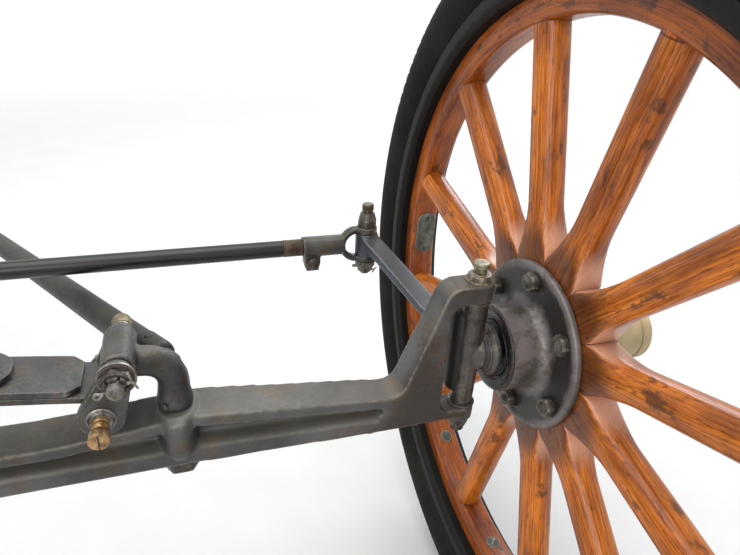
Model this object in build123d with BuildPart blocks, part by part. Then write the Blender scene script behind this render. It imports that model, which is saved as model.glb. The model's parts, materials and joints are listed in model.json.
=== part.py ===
from build123d import *
from math import asin, atan2, cos, degrees, hypot, radians, sin, sqrt, tan
import os

os.makedirs("parts", exist_ok=True)

# Front axle of a light vintage car, in millimetres: forged beam, kingpins and knuckles, wooden
# spoked wheels, tie rod, transverse leaf spring on its perches and shackles, and radius rods.
# +X is the car's left, -Y its front, +Z up. The origin is on the spring seat, the middle of the
# top leaf, where the axle is bolted under the car's frame. The left side is modelled and
# mirrored. Heights whose names say nothing else are counted from the wheel centres.

# Clearances
SEAT_GAP = 0.3            # between curved faces that seat on one another
PIN_GAP = 0.2             # radial, round pins and studs
RUNNING_GAP = 3.0         # between the spinning hub and what stands still beside it
SLIDE_GAP = 0.9           # radial, the tie rod in its sockets

# Wheel and tyre
TRACK = 1422.4            # between the tyres' middles, on the ground
CAMBER = 0.5              # degrees, the wheel's top leans outboard
TYRE_SECTION_R = 38.0
TYRE_NECK_W = 55.2        # where the tyre comes out between the rim's flanges
RIM_HALF_WIDTH = 31.0
RIM_T = 3.0
RIM_FLANGE_H = 14.0
RIM_ROLL = 2.0            # rounding of the flanges' edges
RIM_FLARE = 5.0           # from the felloe's edge out to the flange
FELLOE_R = 300.3          # outside of the wooden felloe
FELLOE_DEPTH = 22.4       # radial
FELLOE_HALF_WIDTH = 16.25
FELLOE_ROUND = 7.0        # rounding of its inner edges
PLATE_T = 3.0             # steel plates over the felloe's two joints
PLATE_HALF_WIDTH = 12.0
PLATE_L = 57.0
PLATES = 2
FIRST_PLATE = -1.0        # degrees from the rear, towards the top
SPOKES = 12
FIRST_SPOKE = 74.04       # degrees from the rear, towards the top
SPOKE_R = 15.2            # the shank is nearly round
MITRE_R = 84.0            # neighbouring spoke roots part here
ROOT_END_R = 132.0        # the flared root has become the round shank here
MITRE_GAP = 0.3
ROOT_FLARE = 2.0          # the shank's swelling on its way to the root

# Hub, along the wheel's axis from the middle of the spokes, outboard positive
SPINDLE_R = 12.0
BARREL_R = 39.7
BARREL_IN = -55.4
FLANGE_R = 78.6
FLANGE_T = 5.0
FLANGE_DISH = 12.0        # hollow rounding between barrel and flange
LIP = 3.0                 # chamfer at the barrel's and the nose's ends
NOSE_R = 33.0
NOSE_OUT = 60.0
THREAD_R = 26.0
THREAD_OUT = 82.0
CAP_R = 29.3
CAP_OUT = 109.4
CAP_T = 3.0
CAP_ROUND = 5.0
SPINDLE_OUT = 93.0

# Kingpin and the yoke around it
KINGPIN_INSET = 75.9      # inboard of the wheel's centre
KINGPIN_R = 6.35
KINGPIN_HEX = 19.0        # across flats
KINGPIN_HEX_TOP = 78.0
OILER_R = 7.0
OILER_TOP = 88.5
KINGPIN_END = -88.0
YOKE_TOP = 71.5
YOKE_JAW_TOP = 54.0
YOKE_JAW_BOTTOM = -56.0
YOKE_BOTTOM = -72.0
YOKE_INNER = 27.0         # the prong's near face, inboard of the kingpin
UPPER_BOSS_R = 13.0
LOWER_BOSS_R = 12.0
YOKE_CORNER = 9.0         # rounding between the prong and its jaws
YOKE_W = 26.0
SHOULDER = 31.0           # the prong's outer corner, inboard of the kingpin
SHOULDER_ROUND = 16.0
FOOT = 68.0               # where the beam's top turns up into the prong, and its height there
FOOT_H = -28.4
FOOT_W = 31.5
FOOT_ROUND = 16.0

# Axle beam, deepest at the spring perches
BEAM_W = 38.0
BEAM_TOP = -19.0
BEAM_BOTTOM = -56.5
BEAM_END_BOTTOM = -66.0   # under the kingpin
CREST_X = 400.0           # the beam's highest and widest place, beside the perch
CREST_H = -9.8
CREST_ROUND = 60.0
RISE_X = 300.0            # the top is level up to here
RISE_ROUND = 200.0
UPPER_LIP = 10.5          # the flanges' height beside the recess
LOWER_LIP = 15.0
WEB_T = 9.0
RECESS_STOP = 84.0        # the recess's end, inboard of the kingpin
RECESS_END_TOP = -37.5
RECESS_END_BOTTOM = -47.5
RECESS_ROUND = 4.5

# Knuckle and steering arm
KNUCKLE_TOP_R = 11.5
KNUCKLE_BOTTOM_R = 10.0
COLLAR_R = 25.0
ARM_PAD_R = 9.0
ARM_PAD_Y = 16.0
ARM_PAD_H = 3.0
ARM_FLANGE_T = 6.0
ARM_W = 22.0
ARM_ROOT_W = 15.0
ARM_FULL_FROM = 60.0      # the arm has its full width from here, counted from the kingpin
ARM_T = 9.0
ARM_END_H = 42.0          # middle of the arm's height at its eye
ARM_EYE_R = 12.0

# Tie rod, its yokes and bolts; the left bolt is placed from the left kingpin
TIE_PIN_IN = 43.1         # inboard of the kingpin
TIE_PIN_BACK = 172.4
TIE_PIN_R = 6.35
TIE_ROD_H = 35.35
TIE_ROD_R = 8.7
EYE_TOP = 47.4
EYE_BOTTOM = 22.3
JAW_T = 6.8
JAW_R = 11.0
LOOP_W = 12.0
LOOP_T = 6.2
LOOP_ROUND = 2.5
LOOP_REACH = 27.6         # pin to the middle of the loop's round end
SOCKET_R = 11.0
SOCKET_IN = 71.4          # pin to the socket's open end
SOCKET_FLOOR = 36.0       # pin to the rod's end
LUG_X = 61.0
LUG_W = 14.0
LUG_D = 15.0
LUG_BOTTOM = 10.0
TIE_HEX = 19.0
TIE_HEX_T = 9.6
TIE_NUT_T = 12.0
TIE_CAP_TOP = 80.2
TIE_BOLT_END = -1.3

# Transverse leaf spring
LEAF_W = 44.4
LEAF_T = 5.0
LEAF_GAP = 0.2
LEAF_ARC_R = 1600.0       # top of the main leaf
FLAT_HALF = 62.0          # straight middle stretch
LEAVES = 6                # above the main leaf
SECOND_REACH = 328.0
THIRD_REACH = 286.0
LEAF_STEP = 44.0          # each further leaf stops short of the one below it
LEAF_CORNER = 8.0         # clipped corners of the second leaf
EYE_X = 340.0
EYE_H = 10.5
EYE_BORE_R = 7.0

# Spring perch and shackle
PERCH_X = 388.0
PERCH_BOSS_W = 28.0
PERCH_BOSS_L = 40.0
PERCH_BOSS_TOP = -8.0
PERCH_BOSS_BOTTOM = -50.0
PERCH_SHANK_R = 9.0
PERCH_NECK_R = 11.3
PERCH_COLLAR_R = 13.0
PERCH_COLLAR_T = 4.0
PERCH_BEND_H = 32.0
PERCH_BEND_R = 20.0
PERCH_NECK_END_X = 361.0  # the neck's round end, under the eye
PERCH_NECK_END_H = 35.0
PERCH_EYE_X = 354.0
PERCH_EYE_H = 43.5
PERCH_EYE_R = 11.8
PERCH_NUT_HEX = 27.0
PERCH_NUT_T = 13.0
STUD_PAST_NUT = 4.0
SHACKLE_PIN_R = 6.8
SHACKLE_BAR_T = 8.0
SHACKLE_BAR_R = 11.0
SHACKLE_HEX = 19.0
SHACKLE_NUT_T = 10.0
SHACKLE_PIN_OVERHANG = 15.0
SHACKLE_OILER_R = 7.5
SHACKLE_OILER_L = 24.0

# Clips around the spring
CLIP_X = 45.0
CLIP_R = 4.75
CLIP_STAND = 48.0         # stud ends above the spring seat
CLIP_GAP = 1.5            # between the studs and the leaves' sides
CLIP_BEND_R = 5.4
REBOUND_X = 253.0
REBOUND_W = 16.0
REBOUND_LEAVES = 3        # held together by a strap
REBOUND_T = 3.0

# Radius rods
ROD_R = 12.5
ROD_HEIGHT = 28.0         # where it leaves the perch
ROD_START = 20.0
SPIGOT_R = 8.5
SPIGOT_L = 34.0
BALL_BACK = 760.0         # where the two rods meet, behind the axle
BALL_HEIGHT = -82.0
ROD_END = 52.0
BALL_R = 19.0
BALL_NECK_R = 9.5
BALL_NECK_L = 46.0

# Worked out from the sizes above
rim_in = FELLOE_R + SEAT_GAP
tread_from = rim_in + RIM_FLANGE_H + RIM_ROLL + SEAT_GAP
section_r = tread_from + sqrt(TYRE_SECTION_R ** 2 - (TYRE_NECK_W / 2) ** 2)
TYRE_R = section_r + TYRE_SECTION_R
EYE_R = EYE_BORE_R + LEAF_T
leaf_reaches = [SECOND_REACH] + [THIRD_REACH - LEAF_STEP * k for k in range(LEAVES - 1)]
leaf_pitch = LEAF_T + LEAF_GAP
ARC_CENTRE_H = EYE_H - sqrt((LEAF_ARC_R - EYE_R) ** 2 - (EYE_X - FLAT_HALF) ** 2)
MAIN_LEAF_TOP = ARC_CENTRE_H + LEAF_ARC_R
SPRING_SEAT = MAIN_LEAF_TOP + LEAVES * leaf_pitch
HUB_Z = -SPRING_SEAT
WHEEL_X = TRACK / 2 + TYRE_R * sin(radians(CAMBER))
KINGPIN_X = WHEEL_X - KINGPIN_INSET
TIE_PIN_X = KINGPIN_X - TIE_PIN_IN
FELLOE_IN_R = FELLOE_R - FELLOE_DEPTH
FLANGE_FACE = SPOKE_R + SEAT_GAP
PERCH_EYE_HALF = LEAF_W / 2 - SEAT_GAP
BAR_FACE = LEAF_W / 2 + SEAT_GAP

stub_dir = Vector(cos(radians(CAMBER)), 0, -sin(radians(CAMBER)))
wheel_centre = Vector(WHEEL_X, 0, HUB_Z)
stub_axis = Axis(wheel_centre, stub_dir)


def level(height):
    """Horizontal plane at a height over the wheel centres."""
    return Plane.XY.offset(HUB_Z + height)


def fore_aft(y):
    """Upright plane facing the front: local x is X, local y is height over the wheel centres."""
    return Plane(origin=(0, y, HUB_Z), x_dir=(1, 0, 0), z_dir=(0, -1, 0))


def side_on(x):
    """Upright plane facing left: local x is Y, local y is height over the wheel centres."""
    return Plane(origin=(x, 0, HUB_Z), x_dir=(0, 1, 0), z_dir=(1, 0, 0))


def rod_across(x):
    """Plane across the tie rod, facing left, centred on the rod."""
    return Plane(origin=(x, TIE_PIN_BACK, HUB_Z + TIE_ROD_H), z_dir=(1, 0, 0))


def wheel_face(along):
    """Plane across the wheel's axis: local x points rearward, local y up."""
    return Plane(origin=wheel_centre + stub_dir * along, x_dir=(0, 1, 0), z_dir=stub_dir)


def wheel_section(angle=90):
    """Plane through the wheel's axis: local x is along it, local y is the radius at an angle
    from the rear towards the top."""
    up = stub_dir.cross(Vector(0, 1, 0))
    outward = Vector(0, 1, 0) * cos(radians(angle)) + up * sin(radians(angle))
    return Plane(origin=wheel_centre, x_dir=stub_dir, z_dir=stub_dir.cross(outward))


def save(piece, label):
    piece.part.label = label
    export_step(piece.part, f"parts/{label}.step")


def save_pair(piece, label):
    """Write the left piece and its mirror image on the car's right."""
    save(piece, f"{label}_left")
    with BuildPart() as twin:
        mirror(piece.part, about=Plane.YZ)
    save(twin, f"{label}_right")


# Axle beam: an I-section forging whose ends rise into yokes around the kingpins
beam_outline = (  # x, height, corner radius
    (0, BEAM_TOP, 0),
    (RISE_X, BEAM_TOP, RISE_ROUND),
    (CREST_X, CREST_H, CREST_ROUND),
    (KINGPIN_X - FOOT, FOOT_H, FOOT_ROUND),
    (KINGPIN_X - SHOULDER, YOKE_TOP, SHOULDER_ROUND),
    (KINGPIN_X, YOKE_TOP, 0),
    (KINGPIN_X, YOKE_JAW_TOP, 0),
    (KINGPIN_X - YOKE_INNER, YOKE_JAW_TOP, YOKE_CORNER),
    (KINGPIN_X - YOKE_INNER, YOKE_JAW_BOTTOM, YOKE_CORNER),
    (KINGPIN_X, YOKE_JAW_BOTTOM, 0),
    (KINGPIN_X, BEAM_END_BOTTOM, 0),
    (CREST_X, BEAM_BOTTOM, CREST_ROUND),
    (0, BEAM_BOTTOM, 0),
)
beam_halves = (  # x, half width
    (0, BEAM_W / 2),
    (CREST_X, BEAM_W / 2),
    (KINGPIN_X - FOOT, FOOT_W / 2),
    (KINGPIN_X - SHOULDER, YOKE_W / 2),
    (KINGPIN_X, YOKE_W / 2),
)
recess_outline = (  # x, height, corner radius
    (0, BEAM_TOP - UPPER_LIP, 0),
    (RISE_X, BEAM_TOP - UPPER_LIP, RISE_ROUND),
    (CREST_X, CREST_H - UPPER_LIP, CREST_ROUND),
    (KINGPIN_X - RECESS_STOP, RECESS_END_TOP, RECESS_ROUND),
    (KINGPIN_X - RECESS_STOP, RECESS_END_BOTTOM, RECESS_ROUND),
    (CREST_X, BEAM_BOTTOM + LOWER_LIP, CREST_ROUND),
    (0, BEAM_BOTTOM + LOWER_LIP, 0),
)
recess_depth = (BEAM_W - WEB_T) / 2

with BuildPart() as axle_beam:
    with BuildSketch(fore_aft(BEAM_W / 2)):
        with BuildLine():
            FilletPolyline(
                [(x, h) for x, h, _ in beam_outline],
                radius=[r for _, _, r in beam_outline],
                close=True,
            )
        make_face()
    extrude(amount=BEAM_W)
    with BuildSketch(level(BEAM_END_BOTTOM)):
        with BuildLine():
            Polyline(
                list(beam_halves) + [(x, -half) for x, half in reversed(beam_halves)],
                close=True,
            )
        make_face()
    extrude(amount=YOKE_TOP - BEAM_END_BOTTOM, mode=Mode.INTERSECT)
    with BuildSketch(fore_aft(-BEAM_W / 2), fore_aft(BEAM_W / 2 - recess_depth)):
        with BuildLine():
            FilletPolyline(
                [(x, h) for x, h, _ in recess_outline],
                radius=[r for _, _, r in recess_outline],
                close=True,
            )
        make_face()
    extrude(amount=-recess_depth, mode=Mode.SUBTRACT)
    with BuildSketch(level(YOKE_JAW_TOP)):
        with Locations((KINGPIN_X, 0)):
            Circle(UPPER_BOSS_R)
    extrude(amount=YOKE_TOP - YOKE_JAW_TOP)
    with BuildSketch(level(YOKE_BOTTOM)):
        with Locations((KINGPIN_X, 0)):
            Circle(LOWER_BOSS_R)
    extrude(amount=YOKE_JAW_BOTTOM - YOKE_BOTTOM)
    with BuildSketch(level(PERCH_BOSS_BOTTOM)):
        with Locations((PERCH_X, 0)):
            SlotOverall(PERCH_BOSS_L, PERCH_BOSS_W, rotation=90)
    extrude(amount=PERCH_BOSS_TOP - PERCH_BOSS_BOTTOM)
    with Locations(level(YOKE_TOP).location * Location((KINGPIN_X, 0, 0))):
        Hole(KINGPIN_R + PIN_GAP)
    with Locations(level(PERCH_BOSS_TOP).location * Location((PERCH_X, 0, 0))):
        Hole(PERCH_SHANK_R + PIN_GAP)
    mirror(about=Plane.YZ)
save(axle_beam, "axle_beam")

# Kingpin: a bolt with its hexagon and screwed oiler on top of the yoke
with BuildPart() as kingpin:
    with BuildSketch(level(KINGPIN_END)):
        with Locations((KINGPIN_X, 0)):
            Circle(KINGPIN_R)
    extrude(amount=YOKE_TOP - KINGPIN_END)
    with BuildSketch(level(YOKE_TOP)):
        with Locations((KINGPIN_X, 0)):
            RegularPolygon(KINGPIN_HEX / 2, 6, major_radius=False)
    extrude(amount=KINGPIN_HEX_TOP - YOKE_TOP)
    with BuildSketch(level(KINGPIN_HEX_TOP)):
        with Locations((KINGPIN_X, 0)):
            Circle(OILER_R)
    extrude(amount=OILER_TOP - KINGPIN_HEX_TOP)
save_pair(kingpin, "kingpin")

# Knuckle: the tapered post between the yoke's jaws, with the stub axle that carries the hub
collar_in = BARREL_IN - RUNNING_GAP
with BuildPart() as knuckle:
    with BuildSketch(level(YOKE_JAW_BOTTOM + SEAT_GAP)):
        with Locations((KINGPIN_X, 0)):
            Circle(KNUCKLE_BOTTOM_R)
    with BuildSketch(level(YOKE_JAW_TOP - SEAT_GAP)):
        with Locations((KINGPIN_X, 0)):
            Circle(KNUCKLE_TOP_R)
    loft()
    with BuildSketch(wheel_face(-KINGPIN_INSET)):
        Circle(KNUCKLE_TOP_R)
    with BuildSketch(wheel_face(collar_in)):
        Circle(COLLAR_R)
    loft()
    with BuildSketch(wheel_face(collar_in)):
        Circle(SPINDLE_R)
    extrude(amount=SPINDLE_OUT - collar_in)
    with BuildSketch(fore_aft(0)):
        with Locations((KINGPIN_X, ARM_PAD_H)):
            Circle(ARM_PAD_R)
    extrude(amount=-ARM_PAD_Y)
    with Locations(level(YOKE_TOP).location * Location((KINGPIN_X, 0, 0))):
        Hole(KINGPIN_R + PIN_GAP)
save_pair(knuckle, "knuckle")

# Steering arm: bolted to the back of the knuckle, rising rearward to the tie rod's eye
arm_dir = Vector(-TIE_PIN_IN, TIE_PIN_BACK, 0)
arm_root_y = ARM_PAD_Y + SEAT_GAP
arm_start = arm_root_y * arm_dir.length / TIE_PIN_BACK
arm_side = Plane(
    origin=(KINGPIN_X, 0, HUB_Z), x_dir=arm_dir, z_dir=arm_dir.cross(Vector(0, 0, 1))
)
arm_side_outline = (  # distance from the kingpin, height
    (arm_start + ARM_FLANGE_T / 2, ARM_PAD_H + ARM_T / 2),
    (arm_dir.length, ARM_END_H + ARM_T / 2),
    (arm_dir.length, ARM_END_H - ARM_T / 2),
    (arm_start + ARM_FLANGE_T / 2, ARM_PAD_H - ARM_T / 2),
)
arm_plan = Plane(
    origin=(KINGPIN_X, 0, HUB_Z + ARM_PAD_H - ARM_T), x_dir=arm_dir, z_dir=(0, 0, 1)
)
arm_halves = (  # distance from the kingpin, half width
    (arm_start, ARM_ROOT_W / 2),
    (ARM_FULL_FROM, ARM_W / 2),
    (arm_dir.length, ARM_W / 2),
)
with BuildPart() as steering_arm:
    with BuildSketch(arm_side):
        with BuildLine():
            Polyline(arm_side_outline, close=True)
        make_face()
    extrude(amount=ARM_W / 2, both=True)
    with BuildSketch(arm_plan):
        with BuildLine():
            Polyline(
                list(arm_halves) + [(d, -half) for d, half in reversed(arm_halves)],
                close=True,
            )
        make_face()
    extrude(amount=EYE_TOP - ARM_PAD_H + ARM_T, mode=Mode.INTERSECT)
    with BuildSketch(fore_aft(arm_root_y)):
        with Locations((KINGPIN_X - arm_root_y * TIE_PIN_IN / TIE_PIN_BACK, ARM_PAD_H)):
            Circle(ARM_PAD_R)
    extrude(amount=-ARM_FLANGE_T)
    with BuildSketch(level(EYE_BOTTOM)):
        with Locations((TIE_PIN_X, TIE_PIN_BACK)):
            Circle(ARM_EYE_R)
    extrude(amount=EYE_TOP - EYE_BOTTOM)
    with Locations(level(EYE_TOP).location * Location((TIE_PIN_X, TIE_PIN_BACK, 0))):
        Hole(TIE_PIN_R + PIN_GAP)
save_pair(steering_arm, "steering_arm")

# Tie rod yoke: two jaws over and under the arm's eye, joined by a round loop to a clamped socket
upper_jaw = EYE_TOP + SEAT_GAP
lower_jaw = EYE_BOTTOM - SEAT_GAP
loop_r = (upper_jaw - lower_jaw + JAW_T) / 2
loop_line_top = upper_jaw + JAW_T / 2
loop_line_bottom = lower_jaw - JAW_T / 2
loop_centre_x = TIE_PIN_X - LOOP_REACH + loop_r
socket_start = TIE_PIN_X - LOOP_REACH + LOOP_T / 4
loop_start = Plane(
    origin=(TIE_PIN_X, TIE_PIN_BACK, HUB_Z + loop_line_top), x_dir=(0, 1, 0), z_dir=(-1, 0, 0)
)
with BuildPart() as tie_rod_yoke:
    with BuildLine(fore_aft(TIE_PIN_BACK)):
        Line((TIE_PIN_X, loop_line_top), (loop_centre_x, loop_line_top))
        ThreePointArc(
            (loop_centre_x, loop_line_top),
            (loop_centre_x - loop_r, (loop_line_top + loop_line_bottom) / 2),
            (loop_centre_x, loop_line_bottom),
        )
        Line((loop_centre_x, loop_line_bottom), (TIE_PIN_X, loop_line_bottom))
    with BuildSketch(loop_start):
        RectangleRounded(LOOP_W, LOOP_T, LOOP_ROUND)
    sweep()
    with BuildSketch(level(upper_jaw), level(lower_jaw - JAW_T)):
        with Locations((TIE_PIN_X, TIE_PIN_BACK)):
            Circle(JAW_R)
    extrude(amount=JAW_T)
    with BuildSketch(rod_across(socket_start)):
        Circle(SOCKET_R)
    extrude(amount=TIE_PIN_X - SOCKET_IN - socket_start)
    with BuildSketch(fore_aft(TIE_PIN_BACK)):
        with Locations((TIE_PIN_X - LUG_X, (TIE_ROD_H + LUG_BOTTOM) / 2)):
            Rectangle(LUG_W, TIE_ROD_H - LUG_BOTTOM)
    extrude(amount=LUG_D / 2, both=True)
    with BuildSketch(rod_across(TIE_PIN_X - SOCKET_IN)):
        Circle(TIE_ROD_R + SLIDE_GAP)
    extrude(amount=SOCKET_IN - SOCKET_FLOOR, mode=Mode.SUBTRACT)
    with Locations(level(loop_line_top + JAW_T).location * Location((TIE_PIN_X, TIE_PIN_BACK, 0))):
        Hole(TIE_PIN_R + PIN_GAP)
save_pair(tie_rod_yoke, "tie_rod_yoke")

# Tie rod: a plain tube between the two sockets
rod_half = TIE_PIN_X - SOCKET_FLOOR - SEAT_GAP
with BuildPart() as tie_rod:
    with BuildSketch(rod_across(-rod_half)):
        Circle(TIE_ROD_R)
    extrude(amount=2 * rod_half)
save(tie_rod, "tie_rod")

# Tie rod bolt: hexagon and cap above the yoke, castle nut below
jaws_top = upper_jaw + JAW_T
jaws_bottom = lower_jaw - JAW_T
with BuildPart() as tie_rod_bolt:
    with BuildSketch(level(TIE_BOLT_END)):
        with Locations((TIE_PIN_X, TIE_PIN_BACK)):
            Circle(TIE_PIN_R)
    extrude(amount=TIE_CAP_TOP - TIE_BOLT_END)
    with BuildSketch(level(jaws_top)):
        with Locations((TIE_PIN_X, TIE_PIN_BACK)):
            RegularPolygon(TIE_HEX / 2, 6, major_radius=False)
    extrude(amount=TIE_HEX_T + JAW_T)
    with BuildSketch(level(jaws_bottom)):
        with Locations((TIE_PIN_X, TIE_PIN_BACK)):
            RegularPolygon(TIE_HEX / 2, 6, major_radius=False)
    extrude(amount=-TIE_NUT_T)
save_pair(tie_rod_bolt, "tie_rod_bolt")

# Hub: barrel, inner flange against the spokes, and the nose that carries the cap
hub_outline = (  # along the axis, radius
    (BARREL_IN, SPINDLE_R + PIN_GAP),
    (BARREL_IN, BARREL_R - LIP),
    (BARREL_IN + LIP, BARREL_R),
    (-FLANGE_FACE - FLANGE_T - FLANGE_DISH, BARREL_R),
    (-FLANGE_FACE - FLANGE_T - FLANGE_DISH / 3, BARREL_R + FLANGE_DISH / 3),
    (-FLANGE_FACE - FLANGE_T, BARREL_R + FLANGE_DISH),
    (-FLANGE_FACE - FLANGE_T, FLANGE_R),
    (-FLANGE_FACE, FLANGE_R),
    (-FLANGE_FACE, BARREL_R),
    (FLANGE_FACE + FLANGE_T + FLANGE_DISH / 2, BARREL_R),
    (FLANGE_FACE + FLANGE_T + FLANGE_DISH, NOSE_R),
    (NOSE_OUT, NOSE_R - LIP),
    (NOSE_OUT, THREAD_R),
    (THREAD_OUT, THREAD_R),
    (THREAD_OUT, SPINDLE_R + PIN_GAP),
)
with BuildPart() as hub:
    with BuildSketch(wheel_section()):
        with BuildLine():
            Polyline(hub_outline, close=True)
        make_face()
    revolve(axis=stub_axis)
save_pair(hub, "hub")

# Outer hub plate, bolted through the spokes to the flange
with BuildPart() as hub_plate:
    with BuildSketch(wheel_face(FLANGE_FACE)):
        Circle(FLANGE_R)
        Circle(BARREL_R + SEAT_GAP, mode=Mode.SUBTRACT)
    extrude(amount=FLANGE_T)
save_pair(hub_plate, "hub_plate")

# Hub cap: a drawn cup over the nose
cap_outline = (  # along the axis, radius
    (NOSE_OUT + SEAT_GAP, THREAD_R + SEAT_GAP),
    (NOSE_OUT + SEAT_GAP, CAP_R),
    (CAP_OUT - CAP_ROUND, CAP_R),
    (CAP_OUT, CAP_R - CAP_ROUND),
    (CAP_OUT, 0),
    (CAP_OUT - CAP_T, 0),
    (CAP_OUT - CAP_T, THREAD_R + SEAT_GAP),
)
with BuildPart() as hub_cap:
    with BuildSketch(wheel_section()):
        with BuildLine():
            Polyline(cap_outline, close=True)
        make_face()
    revolve(axis=stub_axis)
save_pair(hub_cap, "hub_cap")

# Spokes: a round shank that flares at its root to meet its neighbours in mitred joints
spoke_angle = 360 / SPOKES
root_sections = (  # radius, half width across the wheel's plane
    (BARREL_R + SEAT_GAP, MITRE_R * tan(radians(spoke_angle / 2)) + ROOT_FLARE),
    (MITRE_R, MITRE_R * tan(radians(spoke_angle / 2))),
    ((MITRE_R + ROOT_END_R) / 2, SPOKE_R + ROOT_FLARE),
    (ROOT_END_R, SPOKE_R),
)
sector_half = FELLOE_R * tan(radians(spoke_angle / 2))
shank_end = sqrt((FELLOE_IN_R - SEAT_GAP) ** 2 - SPOKE_R ** 2)
with BuildPart() as spoke:
    for radius, half_width in root_sections:
        with BuildSketch(Plane.YZ.offset(radius)):
            Ellipse(half_width, SPOKE_R)
    loft()
    with BuildSketch(Plane.YZ.offset(ROOT_END_R)):
        Circle(SPOKE_R)
    extrude(amount=shank_end - ROOT_END_R)
    with BuildSketch(Plane.XY.offset(-FLANGE_R)):
        with BuildLine():
            Polyline((0, 0), (FELLOE_R, -sector_half), (FELLOE_R, sector_half), close=True)
        make_face()
        offset(amount=-MITRE_GAP / 2, kind=Kind.INTERSECTION)
    extrude(amount=2 * FLANGE_R, mode=Mode.INTERSECT)
with BuildPart() as spokes:
    with Locations(wheel_face(0)):
        with PolarLocations(0, SPOKES, start_angle=FIRST_SPOKE):
            add(spoke.part)
save_pair(spokes, "spokes")

# Felloe: the wooden ring with rounded inner edges
with BuildPart() as felloe:
    with BuildSketch(wheel_section()):
        with Locations((0, FELLOE_R - FELLOE_DEPTH / 2)):
            Rectangle(2 * FELLOE_HALF_WIDTH, FELLOE_DEPTH)
        fillet(vertices().group_by(Axis.Y)[0], FELLOE_ROUND)
    revolve(axis=stub_axis)
save_pair(felloe, "felloe")

# Felloe plates over the two joints of the ring
with BuildPart() as felloe_plate:
    with BuildSketch(Plane.XZ):
        with Locations((FELLOE_IN_R - SEAT_GAP - PLATE_T / 2, 0)):
            Rectangle(PLATE_T, 2 * PLATE_HALF_WIDTH)
    revolve(axis=Axis.Z)
    with BuildSketch(Plane.YZ.offset(MITRE_R)):
        SlotOverall(PLATE_L, 2 * PLATE_HALF_WIDTH)
    extrude(amount=FELLOE_R, mode=Mode.INTERSECT)
with BuildPart() as felloe_plates:
    with Locations(wheel_face(0)):
        with PolarLocations(0, PLATES, start_angle=FIRST_PLATE):
            add(felloe_plate.part)
save_pair(felloe_plates, "felloe_plates")

# Rim: a rolled steel channel around the felloe
rim_half_outline = (  # along the axis, radius
    (RIM_HALF_WIDTH - RIM_FLARE, rim_in),
    (RIM_HALF_WIDTH - RIM_ROLL / 2, rim_in + RIM_FLARE / 2),
    (RIM_HALF_WIDTH, rim_in + RIM_FLANGE_H),
    (RIM_HALF_WIDTH - RIM_T / 2 - RIM_ROLL / 4, rim_in + RIM_FLANGE_H + RIM_ROLL),
    (RIM_HALF_WIDTH - RIM_T - RIM_ROLL / 2, rim_in + RIM_FLANGE_H),
    (RIM_HALF_WIDTH - RIM_T - RIM_ROLL, rim_in + RIM_FLARE),
    (RIM_HALF_WIDTH - RIM_T - RIM_FLARE, rim_in + RIM_T),
)
with BuildPart() as rim:
    with BuildSketch(wheel_section()):
        with BuildLine():
            Polyline(
                list(rim_half_outline) + [(-s, r) for s, r in reversed(rim_half_outline)],
                close=True,
            )
        make_face()
    revolve(axis=stub_axis)
save_pair(rim, "rim")

# Tyre: round section above the rim's flanges, narrower bead between them
bead_in = rim_in + RIM_T + SEAT_GAP
bead_w = 2 * (RIM_HALF_WIDTH - RIM_T - RIM_FLARE - SEAT_GAP)
with BuildPart() as tyre:
    with BuildSketch(wheel_section()):
        with Locations((0, section_r)):
            Circle(TYRE_SECTION_R)
        with Locations((0, tread_from - TYRE_SECTION_R)):
            Rectangle(4 * TYRE_SECTION_R, 2 * TYRE_SECTION_R, mode=Mode.SUBTRACT)
        with Locations((0, (bead_in + tread_from) / 2)):
            Rectangle(bead_w, tread_from - bead_in)
    revolve(axis=stub_axis)
save_pair(tyre, "tyre")

# Main leaf: flat in the middle, arched down to the rolled eyes at its ends
eye_turn = degrees(asin((EYE_X - FLAT_HALF) / (LEAF_ARC_R - EYE_R)))
with BuildPart() as main_leaf:
    with BuildSketch(fore_aft(LEAF_W / 2)):
        with BuildLine():
            top = CenterArc((FLAT_HALF, ARC_CENTRE_H), LEAF_ARC_R, 90, -eye_turn)
            under = CenterArc((FLAT_HALF, ARC_CENTRE_H), LEAF_ARC_R - LEAF_T, 90, -eye_turn)
            Line(top @ 1, under @ 1)
            Polyline(top @ 0, (0, MAIN_LEAF_TOP), (0, MAIN_LEAF_TOP - LEAF_T), under @ 0)
        make_face()
        with Locations((EYE_X, EYE_H)):
            Circle(EYE_R)
            Circle(EYE_BORE_R, mode=Mode.SUBTRACT)
    extrude(amount=LEAF_W)
    mirror(about=Plane.YZ)
save(main_leaf, "main_leaf")

# Shorter leaves stacked on the main leaf: the second has clipped corners, the others round ends
with BuildPart() as spring_leaves:
    for index, reach in enumerate(leaf_reaches):
        under_r = LEAF_ARC_R + LEAF_GAP + index * leaf_pitch
        turn = degrees(asin((reach - FLAT_HALF) / under_r))
        with BuildSketch(fore_aft(LEAF_W / 2)):
            with BuildLine():
                top = CenterArc((FLAT_HALF, ARC_CENTRE_H), under_r + LEAF_T, 90, -turn)
                under = CenterArc((FLAT_HALF, ARC_CENTRE_H), under_r, 90, -turn)
                Line(top @ 1, under @ 1)
                under_h = ARC_CENTRE_H + under_r
                Polyline(top @ 0, (0, under_h + LEAF_T), (0, under_h), under @ 0)
            make_face()
        extrude(amount=LEAF_W)
    leaf_corners = spring_leaves.edges().filter_by(
        lambda edge: abs(edge.length - LEAF_T) < SEAT_GAP and edge.center().X > FLAT_HALF
    ).sort_by(Axis.X)
    chamfer(leaf_corners[-2:], LEAF_CORNER)
    fillet(leaf_corners[:-2], LEAF_W / 2 - SEAT_GAP)
    mirror(about=Plane.YZ)
save(spring_leaves, "spring_leaves")

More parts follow.
